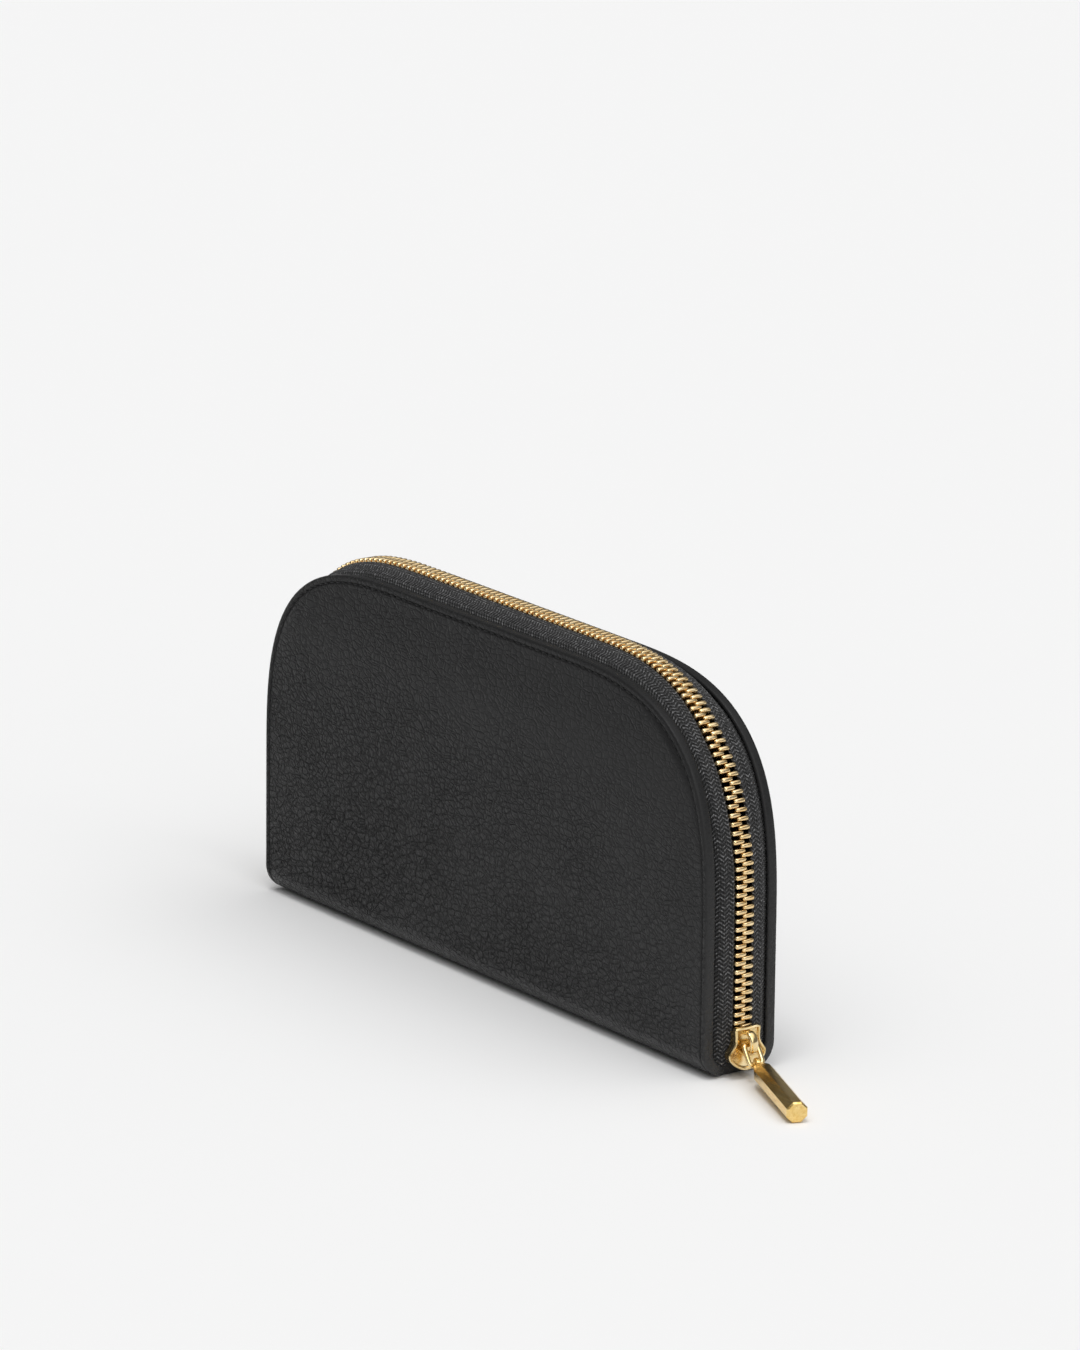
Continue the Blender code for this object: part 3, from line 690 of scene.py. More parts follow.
def face_lift(point):
    """How far the padded face stands proud: a slight crown, with the unevenness of glued leather."""
    reach = min(HALF_LENGTH - abs(point.x), HEIGHT - point.z) / 16.0
    edge = smoothstep(reach, 0.1, 1.0)
    foot = smoothstep(point.z, 3.0, 22.0)
    waves = noise.noise(Vector((point.x * WAVE_RATE, point.y, point.z * WAVE_RATE)))
    ripples = noise.noise(Vector((point.x * RIPPLE_RATE, point.y + 7.0, point.z * RIPPLE_RATE)))
    return (CROWN * edge + WAVE_HEIGHT * waves * edge + RIPPLE_HEIGHT * ripples * edge) * foot


# The pressed line under the stitches, as (distance from its middle, depth).
GROOVE = ((-0.55, 0.0), (-0.32, 0.06), (-0.13, 0.27), (0.0, 0.34), (0.13, 0.27), (0.32, 0.06), (0.55, 0.0))


def cover_skin(side_name, side):
    """The outer leather, pressed down along the stitch line and turned in over a rounded edge."""
    insets = [12.0, 8.5, 6.0, 4.2, 3.2]
    shares = [0.0, 0.08, 0.17, 0.27, 0.37, 0.47, 0.57, 0.67, 0.76, 0.84, 0.91, 0.96, 1.0]
    section = [(-STITCH_INSET + aside, depth) for aside, depth in GROOVE]
    section += [(-0.75, 0.0), (-0.42, 0.07), (-0.16, 0.27), (-0.02, 0.6), (0.0, 1.05)]
    turned = ((0.0, 0.75), (-0.04, 0.38), (-0.2, 0.1), (-0.5, 0.0), (-0.85, 0.0), (-1.0, 0.15))
    section += [(out, EDGE_THICKNESS - rest) for out, rest in turned]
    section += [(-1.0, SKIN + 0.1), (-1.1, SKIN)]
    name = side_name + "_cover_skin"
    skin = shell(name, side, insets, shares, section, SKIN, MATERIALS["shell"], face_lift)
    bend_under(skin)
    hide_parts(side_name + "_leather")
    if side == FRONT:
        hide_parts("spine_leather")


def stitch_shape(middle, along, up, length, radius):
    """A short thread lying along a line, with its ends dipping into the leather."""
    across = along.cross(up).normalized()
    loops, places = [], []
    for share in (-1.0, -0.86, -0.55, 0.0, 0.55, 0.86, 1.0):
        size = radius * (1 - 0.85 * abs(share) ** 4)
        rise = -radius * 1.1 * abs(share) ** 3
        centre = middle + along * share * length / 2 + up * rise
        loops.append([centre + across * size * a + up * size * b for a, b in squircle(8)])
        places.extend([share * length / 2 * MM] * 8)
    points, faces = loft(loops)
    return points, faces, places


def cover_stitches(side_name, side):
    """Separate stitches round the cover, down to where it turns under."""
    line = fine_outline(HINGE_Z - 2.2, HINGE_Z - 2.2)
    total = outline_length(line)
    count = int(total // STITCH_PITCH)
    stations = resampled(line, (np.arange(count) + 0.5) * total / count)
    heap = Heap()
    for x, z, nx, nz in stations:
        y = HALF_DEPTH - STITCH_DEPTH
        if z < HINGE_Z:
            y = HINGE_Y + math.sqrt((SPINE_RADIUS - STITCH_DEPTH) ** 2 - (HINGE_Z - z) ** 2)
        middle = Vector((x - nx * STITCH_INSET, side * y, z - nz * STITCH_INSET))
        along = Vector((-nz, 0.0, nx)).normalized()
        slanted = (along + Vector((nx, 0, nz)) * 0.10).normalized()
        heap.add(*stitch_shape(middle, slanted, Vector((0, side, 0)), STITCH_LENGTH, STITCH_RADIUS))
    thread = heap.piece(side_name + "_stitches", MATERIALS["thread"], 60.0)
    bend_under(thread)
    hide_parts(side_name + "_stitching")


# ---------------------------------------------------------------- zip


# The tape's section, as (y, out): sewn in under the leather first, then over to the teeth.
TAPE_LINE = ((9.2, -5.5), (9.25, -3.6), (9.2, -2.4), (8.85, -2.0), (8.3, -1.85))
TAPE_LINE += ((7.75, -1.65), (7.2, -1.25), (6.75, -0.72), (6.3, -0.34), (5.7, -0.08))
TAPE_LINE += ((5.1, 0.05), (4.4, 0.14), (3.6, 0.2), (3.0, 0.24), (2.6, 0.25))
TAPE_HALF_THICKNESS = 0.22
WEAVE_DEPTH = 0.11
CORD_Y, CORD_WIDTH, CORD_SWELL = 3.05, 0.33, 0.16
CORD_TWIST_DEPTH, CORD_TWIST_PITCH = 0.05, 0.9


def chain_rise(nx, nz):
    """How much further out the chain stands than the covers' edge, where the outline faces (nx, nz)."""
    turn = math.atan2(max(nz, 0.0), abs(nx)) / (math.pi / 2)
    dip = ARCH_DIP * (1 - math.exp(-max(turn - ARCH_DIP_START, 0.0) / ARCH_DIP_REACH))
    return ARCH_TOP * smoothstep(turn, ARCH_TOP_START, 1.0) - dip


def chain_share(y):
    """How much of the chain's rise the tape takes, from none where it is sewn in to all at the teeth."""
    return smoothstep(ARCH_SEWN_Y - y, 0.0, ARCH_SEWN_Y - ARCH_CHAIN_Y)


def chain_line(foot_right, foot_left):
    """The fine outline moved out to where the chain runs."""
    found = []
    for x, z, nx, nz in fine_outline(foot_right, foot_left):
        rise = chain_rise(nx, nz)
        found.append((x + nx * rise, z + nz * rise, nx, nz))
    return found


def zip_stations(step):
    """Even stations round the zip's outline, from the right foot over the top to the left one."""
    line = fine_outline(TAPE_FOOT, TAPE_FOOT)
    total = outline_length(line)
    count = int(total / step)
    wanted = np.linspace(0.0, total, count + 1)
    return resampled(line, wanted), wanted


def fine_section(line, step):
    """A line of (y, out) with even small steps and its distances along."""
    table = np.array(line)
    run = np.concatenate([[0.0], np.cumsum(np.hypot(*np.diff(table, axis=0).T))])
    wanted = np.linspace(0.0, run[-1], int(run[-1] / step) + 1)
    return np.stack([np.interp(wanted, run, table[:, k]) for k in (0, 1)], axis=1), wanted


def tape_piece(name, points, faces, along, across):
    """A woven strip, whose weave follows the along and across distances of its points."""
    attributes = {"along": along, "across": across}
    return make_piece(name, points, faces, MATERIALS["tape"], 60.0, attributes, merge=False)


def zip_tape(side_name, side):
    """Herringbone tape, sewn in under the leather, with a cord along its free edge for the teeth."""
    stations, distances = zip_stations(0.45)
    middle, across = fine_section(TAPE_LINE, 0.27)
    slope = np.gradient(middle, axis=0)
    slope /= np.linalg.norm(slope, axis=1, keepdims=True)
    facing = np.stack([slope[:, 1], -slope[:, 0]], axis=1)
    half_thickness = np.full(len(middle), TAPE_HALF_THICKNESS)
    cord = np.exp(-(((middle[:, 0] - CORD_Y) / CORD_WIDTH) ** 2))
    half_thickness += CORD_SWELL * cord
    half_thickness[-1] = 0.12
    shares = np.array([chain_share(y) for y in middle[:, 0]])
    shares = np.concatenate([shares, shares[::-1]])
    points, along_values, across_values = [], [], []
    fold = np.abs(((across / TAPE_RIB) % 2.0) - 1.0) * TAPE_RIB
    for (x, z, nx, nz), distance in zip(stations, distances):
        weave = WEAVE_DEPTH * np.sin(2 * math.pi * (distance + 0.8 * fold) / TAPE_PITCH) * (1 - cord)
        twist = CORD_TWIST_DEPTH * np.sin(2 * math.pi * distance / CORD_TWIST_PITCH) * cord
        top = middle + facing * (half_thickness + weave + twist)[:, None]
        bottom = middle - facing * half_thickness[:, None]
        loop = np.concatenate([top, bottom[::-1]])
        rise = chain_rise(nx, nz)
        for (y, out), share in zip(loop, shares):
            reach = out + rise * share
            points.append((x + nx * reach, side * y, z + nz * reach))
        along_values.extend([distance * MM] * len(loop))
        across_values.extend(np.concatenate([across, across[::-1]]) * MM)
    count = 2 * len(middle)
    faces = band_faces(len(stations), count, closed_columns=True) + end_faces(len(stations), count)
    tape = tape_piece(side_name + "_tape", points, faces, along_values, across_values)
    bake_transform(tape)
    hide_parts(side_name + "_zip_tape")


def tooth_template():
    """A tooth as loops along its length: (y, half thickness, low, high), in its own frame."""
    profile = (
        (2.68, 0.28, -0.3, 0.75),
        (2.62, 0.42, -0.62, 1.12),
        (2.45, 0.52, -0.85, 1.36),
        (2.1, 0.56, -0.95, 1.47),
        (1.5, 0.56, -1.0, 1.5),
        (0.9, 0.54, -1.0, 1.5),
        (0.45, 0.49, -1.0, 1.47),
        (-0.1, 0.47, -0.95, 1.42),
        (-0.42, 0.43, -0.8, 1.28),
        (-0.58, 0.31, -0.55, 1.0),
        (-0.62, 0.18, -0.3, 0.75),
    )
    loops = []
    for y, half, low, high in profile:
        section = rounded_rectangle(half, low, high, min(half * 0.75, 0.4), 3)
        loops.append([(across, y, up) for across, up in section])
    return loft(loops)


def teeth_row(side_name, side):
    """Every tooth of one side. The two sides are half a pitch apart, so that they mesh."""
    line = chain_line(TEETH_FOOT_RIGHT, TEETH_FOOT_LEFT)
    total = outline_length(line)
    shift = TOOTH_PITCH / 2 if side == FRONT else 0.0
    wanted = np.arange(shift, total, TOOTH_PITCH)
    template, faces = tooth_template()
    heap = Heap()
    for x, z, nx, nz in resampled(line, wanted):
        along = Vector((-nz, 0.0, nx))
        out = Vector((nx, 0.0, nz))
        middle = Vector((x, 0.0, z))
        points = [middle + along * s + Vector((0, side * y, 0)) + out * h for s, y, h in template]
        heap.add(points, faces)
    teeth = heap.piece(side_name + "_zip_teeth", MATERIALS["teeth"], 50.0)
    placed(teeth, side_name + "_cover", "teeth_metal", side_name + "_teeth")


def end_stop(side_name):
    """A crimped stop at the zip's far end."""
    low, high = node_box(side_name + "_end_stop")
    middle = (low + high) / 2
    size = (high - low) / 2
    loops = []
    rounded = ((-1.0, 0.55), (-0.92, 0.8), (-0.7, 0.95), (-0.2, 1.0), (0.0, 0.9), (0.2, 1.0), (0.7, 0.95))
    for share, scale in (*rounded, (0.92, 0.8), (1.0, 0.55)):
        z = middle.z + share * size.z
        section = squircle(16, 0.5, 0.5)
        loops.append([(middle.x + a * size.x * scale, middle.y + b * size.y * scale, z) for a, b in section])
    points, faces = loft(loops)
    stop = make_piece(side_name + "_zip_stop", points, faces, MATERIALS["teeth"], 60.0)
    placed(stop, side_name + "_cover", "teeth_metal", side_name + "_end_stop")


# ---------------------------------------------------------------- slider and pull


# The slider's upper plate: half its outline as (y, z), its side walls and what reaches below it.
PLATE_X = (96.75, 98.25)
PLATE_OUTLINE = ((0.0, 12.72), (2.9, 13.0), (3.75, 12.6), (3.75, 11.9), (3.55, 9.9), (3.95, 8.6))
PLATE_OUTLINE += ((5.35, 6.7), (5.5, 6.2), (5.25, 4.9), (3.6, 3.3), (1.5, 2.15), (0.0, 1.95))
WALL_OUTSIDE = ((3.6, 11.9), (3.35, 9.8), (3.75, 8.5), (5.05, 6.6), (5.15, 6.0), (4.95, 5.1))
WALL_INSIDE = ((4.1, 4.4), (3.35, 4.9), (3.9, 6.3), (3.2, 7.6), (2.8, 9.4), (2.95, 11.7))
WALL_FOOT_X = 95.85
WEDGE_FOOT_X = 93.2
# The bridge's middle line, as (x, z).
ARCH = ((97.3, 11.3), (98.6, 11.45), (99.7, 11.0), (100.45, 9.9))
ARCH += ((100.55, 8.6), (100.2, 7.3), (99.0, 6.4), (97.3, 6.0))


def smooth_loop(points, rounds=2):
    """A closed polygon with its corners cut again and again."""
    for _ in range(rounds):
        cut = []
        for k, here in enumerate(points):
            after = points[(k + 1) % len(points)]
            cut.append(tuple(0.78 * a + 0.22 * b for a, b in zip(here, after)))
            cut.append(tuple(0.22 * a + 0.78 * b for a, b in zip(here, after)))
        points = cut
    return points


def inset_loop(points, inset):
    """A closed loop moved inwards along its own normals."""
    table = np.array(points)
    tangent = np.roll(table, -1, axis=0) - np.roll(table, 1, axis=0)
    tangent /= np.linalg.norm(tangent, axis=1, keepdims=True)
    area = 0.5 * np.sum(table[:, 0] * np.roll(table[:, 1], -1) - np.roll(table[:, 0], -1) * table[:, 1])
    inward = np.stack([-tangent[:, 1], tangent[:, 0]], axis=1) * (1.0 if area > 0 else -1.0)
    return table + inward * inset


def plate_piece(name, outline, levels):
    """A plate from rings of (inset, x) over its outline, closed at both ends."""
    loops = []
    for inset, x in levels:
        loops.append([(x, y, z) for y, z in inset_loop(outline, inset)])
    points, faces = loft(loops)
    return make_piece(name, points, faces, MATERIALS["gold"], 35.0)


def tube(path, radius_a, radius_b, side_axis, closed=False, corners=16, power=1.0):
    """Points and faces of a bar along a path. side_axis is the second axis of its oval section."""
    loops = []
    count = len(path)
    for k, here in enumerate(path):
        before = path[(k - 1) % count] if closed or k else here
        after = path[(k + 1) % count] if closed or k < count - 1 else here
        forward = (after - before).normalized()
        normal = forward.cross(side_axis).normalized()
        section = squircle(corners, power)
        loops.append([here + normal * radius_a * a + side_axis * radius_b * b for a, b in section])
    return loft(loops, closed)


def smooth_path(points, steps):
    """A smooth line through control points, by Catmull and Rom's rule."""
    found = []
    for k in range(len(points) - 1):
        p0, p1 = points[max(k - 1, 0)], points[k]
        p2, p3 = points[k + 1], points[min(k + 2, len(points) - 1)]
        square = 2 * p0 - 5 * p1 + 4 * p2 - p3
        cube = 3 * p1 - p0 - 3 * p2 + p3
        for j in range(steps):
            t = j / steps
            found.append(0.5 * (2 * p1 + (p2 - p0) * t + square * t**2 + cube * t**3))
    found.append(points[-1])
    return found


def slider():
    """A shield-shaped top plate with a raised rim and side walls, a wedge, a lower plate, and the bridge."""
    half = list(PLATE_OUTLINE)
    outline = smooth_loop(half + [(-y, z) for y, z in reversed(half[1:-1])], 2)
    base, top = PLATE_X
    rim = (
        (0.2, base),
        (0.05, base + 0.08),
        (0.0, base + 0.25),
        (0.0, top - 0.3),
        (0.06, top - 0.12),
        (0.2, top),
        (0.5, top),
        (0.64, top - 0.1),
        (0.74, top - 0.3),
        (0.8, top - 0.55),
        (0.95, top - 0.62),
        (1.15, top - 0.64),
    )
    crown = plate_piece("slider_crown", outline, rim)
    others = []
    for side in (FRONT, BACK):
        wall = [(side * y, z) for y, z in (*WALL_OUTSIDE, *WALL_INSIDE)]
        others.append(plate_piece("slider_wall", wall, ((0.0, WALL_FOOT_X), (0.0, base + 0.3))))
    wedge = smooth_loop([(1.1, 5.8), (1.1, 3.1), (-1.1, 3.1), (-1.1, 5.8)], 1)
    others.append(plate_piece("slider_wedge", wedge, ((0.0, WEDGE_FOOT_X), (0.0, base + 0.3))))
    lower = [(3.4, 12.6), (4.6, 7.0), (4.6, 4.6), (2.2, 3.1)]
    lower = smooth_loop(lower + [(-y, z) for y, z in reversed(lower)], 2)
    levels = ((0.15, 92.7), (0.0, 92.85), (0.0, 93.55), (0.15, 93.7))
    others.append(plate_piece("slider_lower", lower, levels))
    united(crown, others)
    placed(crown, "slider", "slider_metal", "slider_body")

    path = smooth_path([Vector((x, 0.0, z)) for x, z in ARCH], 5)
    points, faces = tube(path, 0.58, 1.1, Vector((0.0, 1.0, 0.0)), power=0.7)
    bridge = make_piece("slider_arch", points, faces, MATERIALS["gold"], 40.0)
    placed(bridge, "slider", "slider_metal", "slider_bridge")


def pull_ring():
    """The ring that joins the bridge to the bar."""
    top, foot = joint_place("pull_ring_hinge"), joint_place("pull_bar_hinge")
    down = (foot - top).normalized()
    length = (foot - top).length
    half_width, corner = 1.95, 1.1
    outline = rounded_rectangle(half_width, 0.0, length, corner, 6)
    path = [top + Vector((0.0, y, 0.0)) + down * along for y, along in outline]
    facing = down.cross(Vector((0.0, 1.0, 0.0))).normalized()
    points, faces = tube(path, 0.6, 0.48, facing, closed=True, corners=14, power=0.8)
    ring = make_piece("pull_link", points, faces, MATERIALS["gold"], 60.0)
    placed(ring, "pull_ring", "slider_metal", "pull_ring")


BAR_LENGTH = 31.9
BAR_ACROSS_FLATS = 5.2
BAR_YAW = math.atan2(-10.7, 30.0)
BAR_DROP = -1.58
EYE_RADIUS = 1.5


def pull_bar():
    """An eight-sided bar with lightly rounded edges, a tapered shoulder and a flat eye."""
    joint = joint_place("pull_bar_hinge")
    run = math.sqrt(BAR_LENGTH**2 - BAR_DROP**2)
    along = Vector((run * math.cos(BAR_YAW), run * math.sin(BAR_YAW), BAR_DROP)).normalized()
    across = along.cross(Vector((0.0, 0.0, 1.0))).normalized()
    rise = across.cross(along)
    radius = BAR_ACROSS_FLATS / 2 / math.cos(math.pi / 8)

    def ring(distance, ring_radius, soft=0.12):
        """Eight corners, each rounded by three points."""
        centre = joint + along * distance
        flat = ring_radius * math.cos(math.pi / 8)
        loop = []
        for k in range(8):
            for step in (-1.0, 0.0, 1.0):
                shift = step * soft / ring_radius
                a = math.pi / 8 + math.pi / 4 * k + shift
                reach = flat / math.cos(math.pi / 8 - abs(shift))
                reach *= 1.0 if step else 1 - 0.18 * soft / ring_radius
                loop.append(centre + across * reach * math.cos(a) + rise * reach * math.sin(a))
        return loop

    loops = [ring(1.9, radius * 0.5, 0.1)]
    for from_eye, share in ((2.3, 0.62), (5.6, 0.96), (6.2, 1.0)):
        loops.append(ring(from_eye, radius * share))
    for from_end, narrower in ((0.42, 0.0), (0.28, 0.06), (0.04, 0.34), (0.0, 0.42)):
        loops.append(ring(BAR_LENGTH - from_end, radius - narrower))
    points, faces = loft(loops)
    bar = make_piece("pull_rod", points, faces, MATERIALS["bar"], 18.0)
    eye_path = [joint + along * EYE_RADIUS * a + rise * EYE_RADIUS * b for a, b in squircle(24)]
    points, faces = tube(eye_path, 0.4, 0.62, across, closed=True, corners=12, power=0.75)
    eye = make_piece("pull_eye", points, faces, MATERIALS["bar"], 40.0)
    united(bar, [eye])
    bar.data.set_sharp_from_angle(angle=math.radians(18.0))
    placed(bar, "pull_bar", "slider_metal", "pull_bar")


# ---------------------------------------------------------------- inside


# The flat lining ends this far inside each end of the cover, and is this much higher than the cover.
LINING_DEPTHS = (1.8, 2.15)


def linings(side_name, side):
    """The cover's cloth lining, which runs down over the hinge to the middle of the spine."""
    low, high = LINING_DEPTHS
    insets = [9.0, 5.0]
    shares = [0.0, 0.12, 0.25, 0.4, 0.55, 0.7, 0.85, 1.0]
    section = [(-2.3, low), (-2.12, low + 0.08), (-2.08, (low + high) / 2)]
    section += [(-2.12, high - 0.08), (-2.3, high)]
    name = side_name + "_cover_lining"
    cloth = shell(name, side, insets, shares, section, high, MATERIALS["lining"], lambda point: -low)
    bend_under(cloth)
    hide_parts(side_name + "_lining", *(["spine_lining"] if side == FRONT else []))


PANEL_ROUNDING = 1.2


def rounded_panel(name, outline, y_outer, y_inner, side):
    """A thin leather panel with rounded edges, between two distances from the middle plane."""
    table = inset_loop(outline, 0.0)
    half = (y_outer - y_inner) / 2
    middle = (y_outer + y_inner) / 2
    centre = table.mean(axis=0)
    loops = []
    edge = ((0.16, 1.0), (0.04, 0.7), (0.0, 0.0), (0.04, -0.7), (0.16, -1.0))
    for inset, share in ((PANEL_ROUNDING, 1.0), *edge, (PANEL_ROUNDING, -1.0)):
        loops.append([(x, side * (middle + half * share), z) for x, z in inset_loop(outline, inset)])
    outside, inside = [], []
    for share in (0.66, 0.33):
        scaled = centre + (inset_loop(outline, PANEL_ROUNDING) - centre) * share
        outside.append([(x, side * (middle + half), z) for x, z in scaled])
        inside.append([(x, side * (middle - half), z) for x, z in scaled])
    points, faces = loft(outside[::-1] + loops + inside)
    return make_piece(name, points, faces, MATERIALS["slot"], 50.0)


def panel_outline(half_length, low, high, corner, steps=8):
    """An upright rectangle with rounded top corners, as (x, z)."""
    arc = [math.radians(90.0 * k / steps) for k in range(steps + 1)]
    right = [(half_length - corner * (1 - math.cos(a)), high - corner * (1 - math.sin(a))) for a in arc]
    foot = [(x, low) for x in np.linspace(-half_length, half_length, 9)]
    return foot + right + [(-x, z) for x, z in reversed(right)]


def stitch_line(name, path, up, body, pitch=2.4):
    """Stitches along straight runs of a path, riding on a body."""
    heap = Heap()
    for start, end in zip(path, path[1:]):
        run = end - start
        count = max(int(run.length // pitch), 1)
        for k in range(count):
            middle = start + run * (k + 0.5) / count
            heap.add(*stitch_shape(middle, run.normalized(), up, pitch * 0.72, 0.2))
    placed(heap.piece(name, MATERIALS["thread"], 60.0), body, "thread")


def pocket_panel(side_name, side):
    """The leather panel that carries the card slots."""
    low, high, y_inner, y_outer = node_span(side_name + "_pocket_panel")
    inset = HALF_LENGTH - high.x
    line = fine_outline(low.z, low.z)
    total = outline_length(line)
    stations = resampled(line, np.linspace(0.0, total, 90))
    outline = [(x - nx * inset, z - nz * inset) for x, z, nx, nz in stations]
    panel = rounded_panel(side_name + "_pocket_leather", outline[::-1], y_outer, y_inner, side)
    placed(panel, side_name + "_cover", "slot_leather", side_name + "_pocket_panel")
    heap = Heap()
    for x, z, nx, nz in resampled(line, np.arange(3.0, total, 2.6)):
        middle = Vector((x - nx * (inset + 1.8), side * (y_inner - 0.03), z - nz * (inset + 1.8)))
        along = Vector((-nz, 0.0, nx))
        heap.add(*stitch_shape(middle, along, Vector((0, -side, 0)), 1.9, 0.18))
    thread = heap.piece(side_name + "_pocket_stitches", MATERIALS["thread"], 60.0)
    placed(thread, side_name + "_cover", "thread")


SLOT_HALF_STEPS = 24


def card_slot(side_name, side, number):
    """A leather strip with a folded top edge, a creased line under it and a dip at the middle seam."""
    low, high, near, far = node_span(f"{side_name}_card_slot_{number}")
    thickness = 0.4
    half = thickness / 2
    y_top, y_foot = near + half, far - half
    length = high.z - low.z

    def middle(x, drop):
        share = drop / length
        seam = math.exp(-((x / 0.7) ** 2))
        bow = 0.10 * math.sin(math.pi * min(abs(x) / high.x, 1.0)) * (1 - share)
        crease = 0.1 * math.exp(-(((drop - 1.5) / 0.28) ** 2))
        return y_top + (y_foot - y_top) * share - bow * 0.6 + crease + 0.12 * seam

    columns = []
    centre_run = [0.0, 0.25, 0.5, 0.8, 1.2, 2.0]
    outer_run = list(np.linspace(4.0, high.x - 0.4, SLOT_HALF_STEPS)) + [high.x]
    xs = [-x for x in reversed(centre_run[1:] + outer_run)] + centre_run + outer_run
    drops = [0.25, 0.6, 1.0, 1.25, 1.5, 1.75, 2.0, 2.6, 4.5, 7.5, 10.5, length]
    for x in xs:
        pinch = 0.6 if abs(x) >= high.x - 1e-6 else 1.0
        front = [(x, side * (middle(x, drop) - half * pinch), high.z - drop) for drop in drops]
        behind = [(x, side * (middle(x, drop) + half * pinch), high.z - drop) for drop in reversed(drops)]
        edge = middle(x, 0.0)
        fold = [
            (x, side * (edge + half * 0.8 * pinch), high.z - 0.08),
            (x, side * edge, high.z),
            (x, side * (edge - half * 0.8 * pinch), high.z - 0.08),
        ]
        columns.append(front + behind + fold)
    points, faces = loft(columns)
    strip = make_piece(f"{side_name}_slot_{number}", points, faces, MATERIALS["slot"], 50.0)
    placed(strip, side_name + "_cover", "slot_leather", f"{side_name}_card_slot_{number}")


def slot_seams(side_name, side):
    """The thread down the middle of the card slots."""
    heap = Heap()
    for number in range(1, 5):
        low, high, near, far = node_span(f"{side_name}_card_slot_{number}")
        shown = 10.4
        for k in range(4):
            drop = 1.6 + (shown - 1.6) * (k + 0.5) / 4
            y = near + (far - near - 0.4) * drop / (high.z - low.z)
            place = Vector((0, side * y, high.z - drop))
            heap.add(*stitch_shape(place, Vector((0, 0, 1)), Vector((0, -side, 0)), 1.7, 0.17))
    thread = heap.piece(side_name + "_slot_seam", MATERIALS["thread"], 60.0)
    placed(thread, side_name + "_cover", "thread")


# A pleat runs from the coin pocket in to its fold, and out again to a cover.
PLEAT_POCKET_Y, PLEAT_COVER_Y = 1.95, 7.45
PLEAT_FOOT, PLEAT_TOP = 10.0, 66.0
PLEAT_HALF_THICKNESS = 0.2
PLEAT_DEPTH_FOOT, PLEAT_DEPTH_TOP = 6.0, 17.5
PLEAT_WAVE = 0.12
PLEAT_ROWS = 22


def gusset(end_name, end, side_name, side):
    """A cloth pleat between the coin pocket and a cover, deeper towards its top."""
    name = f"gusset_{end_name}_{side_name}"
    low, high = node_box(name)
    edge_x = max(abs(low.x), abs(high.x))
    loops = []
    for row in range(PLEAT_ROWS + 1):
        share = row / PLEAT_ROWS
        z = PLEAT_FOOT + (PLEAT_TOP - PLEAT_FOOT) * share
        depth = PLEAT_DEPTH_FOOT + (PLEAT_DEPTH_TOP - PLEAT_DEPTH_FOOT) * share
        path = []
        for k in range(17):
            t = k / 16
            y = PLEAT_POCKET_Y + (PLEAT_COVER_Y - PLEAT_POCKET_Y) * t
            bend = 1 - abs(2 * t - 1) ** 1.25
            wave = PLEAT_WAVE * math.sin(9.0 * share + 5.0 * t)
            path.append(Vector((edge_x - depth * bend + wave * bend, y, z)))
        outer, inner = [], []
        for k, here in enumerate(path):
            before, after = path[max(k - 1, 0)], path[min(k + 1, 16)]
            forward = (after - before).normalized()
            normal = Vector((-forward.y, forward.x, 0.0))
            outer.append(here + normal * PLEAT_HALF_THICKNESS)
            inner.append(here - normal * PLEAT_HALF_THICKNESS)
        ring = outer + inner[::-1]
        loops.append([(end * point.x, side * point.y, point.z) for point in ring])
    points, faces = loft(loops)
    cloth = make_piece(f"pleat_{end_name}_{side_name}", points, faces, MATERIALS["lining"], 60.0)
    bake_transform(cloth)
    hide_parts(name)


def coin_pocket():
    """Two leather panels with a short zip along their top."""
    for side_name, side in SIDES:
        low, high, near, far = node_span(f"coin_pocket_{side_name}")
        outline = panel_outline(high.x, low.z, high.z, 9.0)
        panel = rounded_panel(f"coin_leather_{side_name}", outline, far, near, side)
        placed(panel, "spine", "slot_leather", f"coin_pocket_{side_name}")
        y = side * (far + 0.02)
        run = [Vector((high.x - 10.0, y, high.z - 1.6)), Vector((-high.x + 10.0, y, high.z - 1.6))]
        stitch_line(f"coin_stitches_{side_name}", run, Vector((0, side, 0)), "spine")
        coin_tape(side_name, side)
        coin_teeth(side_name, side)


def coin_tape(side_name, side):
    low, high, near, far = node_span(f"coin_zip_tape_{side_name}")
    middle, half = (near + far) / 2, (far - near) / 2
    columns, along, across = [], [], []
    heights = np.linspace(low.z, high.z, 26)
    for x in np.linspace(low.x, high.x, 150):
        face = [(x, side * (middle + half * 0.9), z) for z in heights]
        rear = [(x, side * (middle - half * 0.9), z) for z in heights[::-1]]
        columns.append(face + rear)
        along.extend([x * MM] * 52)
        across.extend([z * MM for z in heights] + [z * MM for z in heights[::-1]])
    points, faces = loft(columns)
    tape = tape_piece(f"coin_tape_{side_name}", points, faces, along, across)
    placed(tape, "spine", "zip_tape", f"coin_zip_tape_{side_name}")


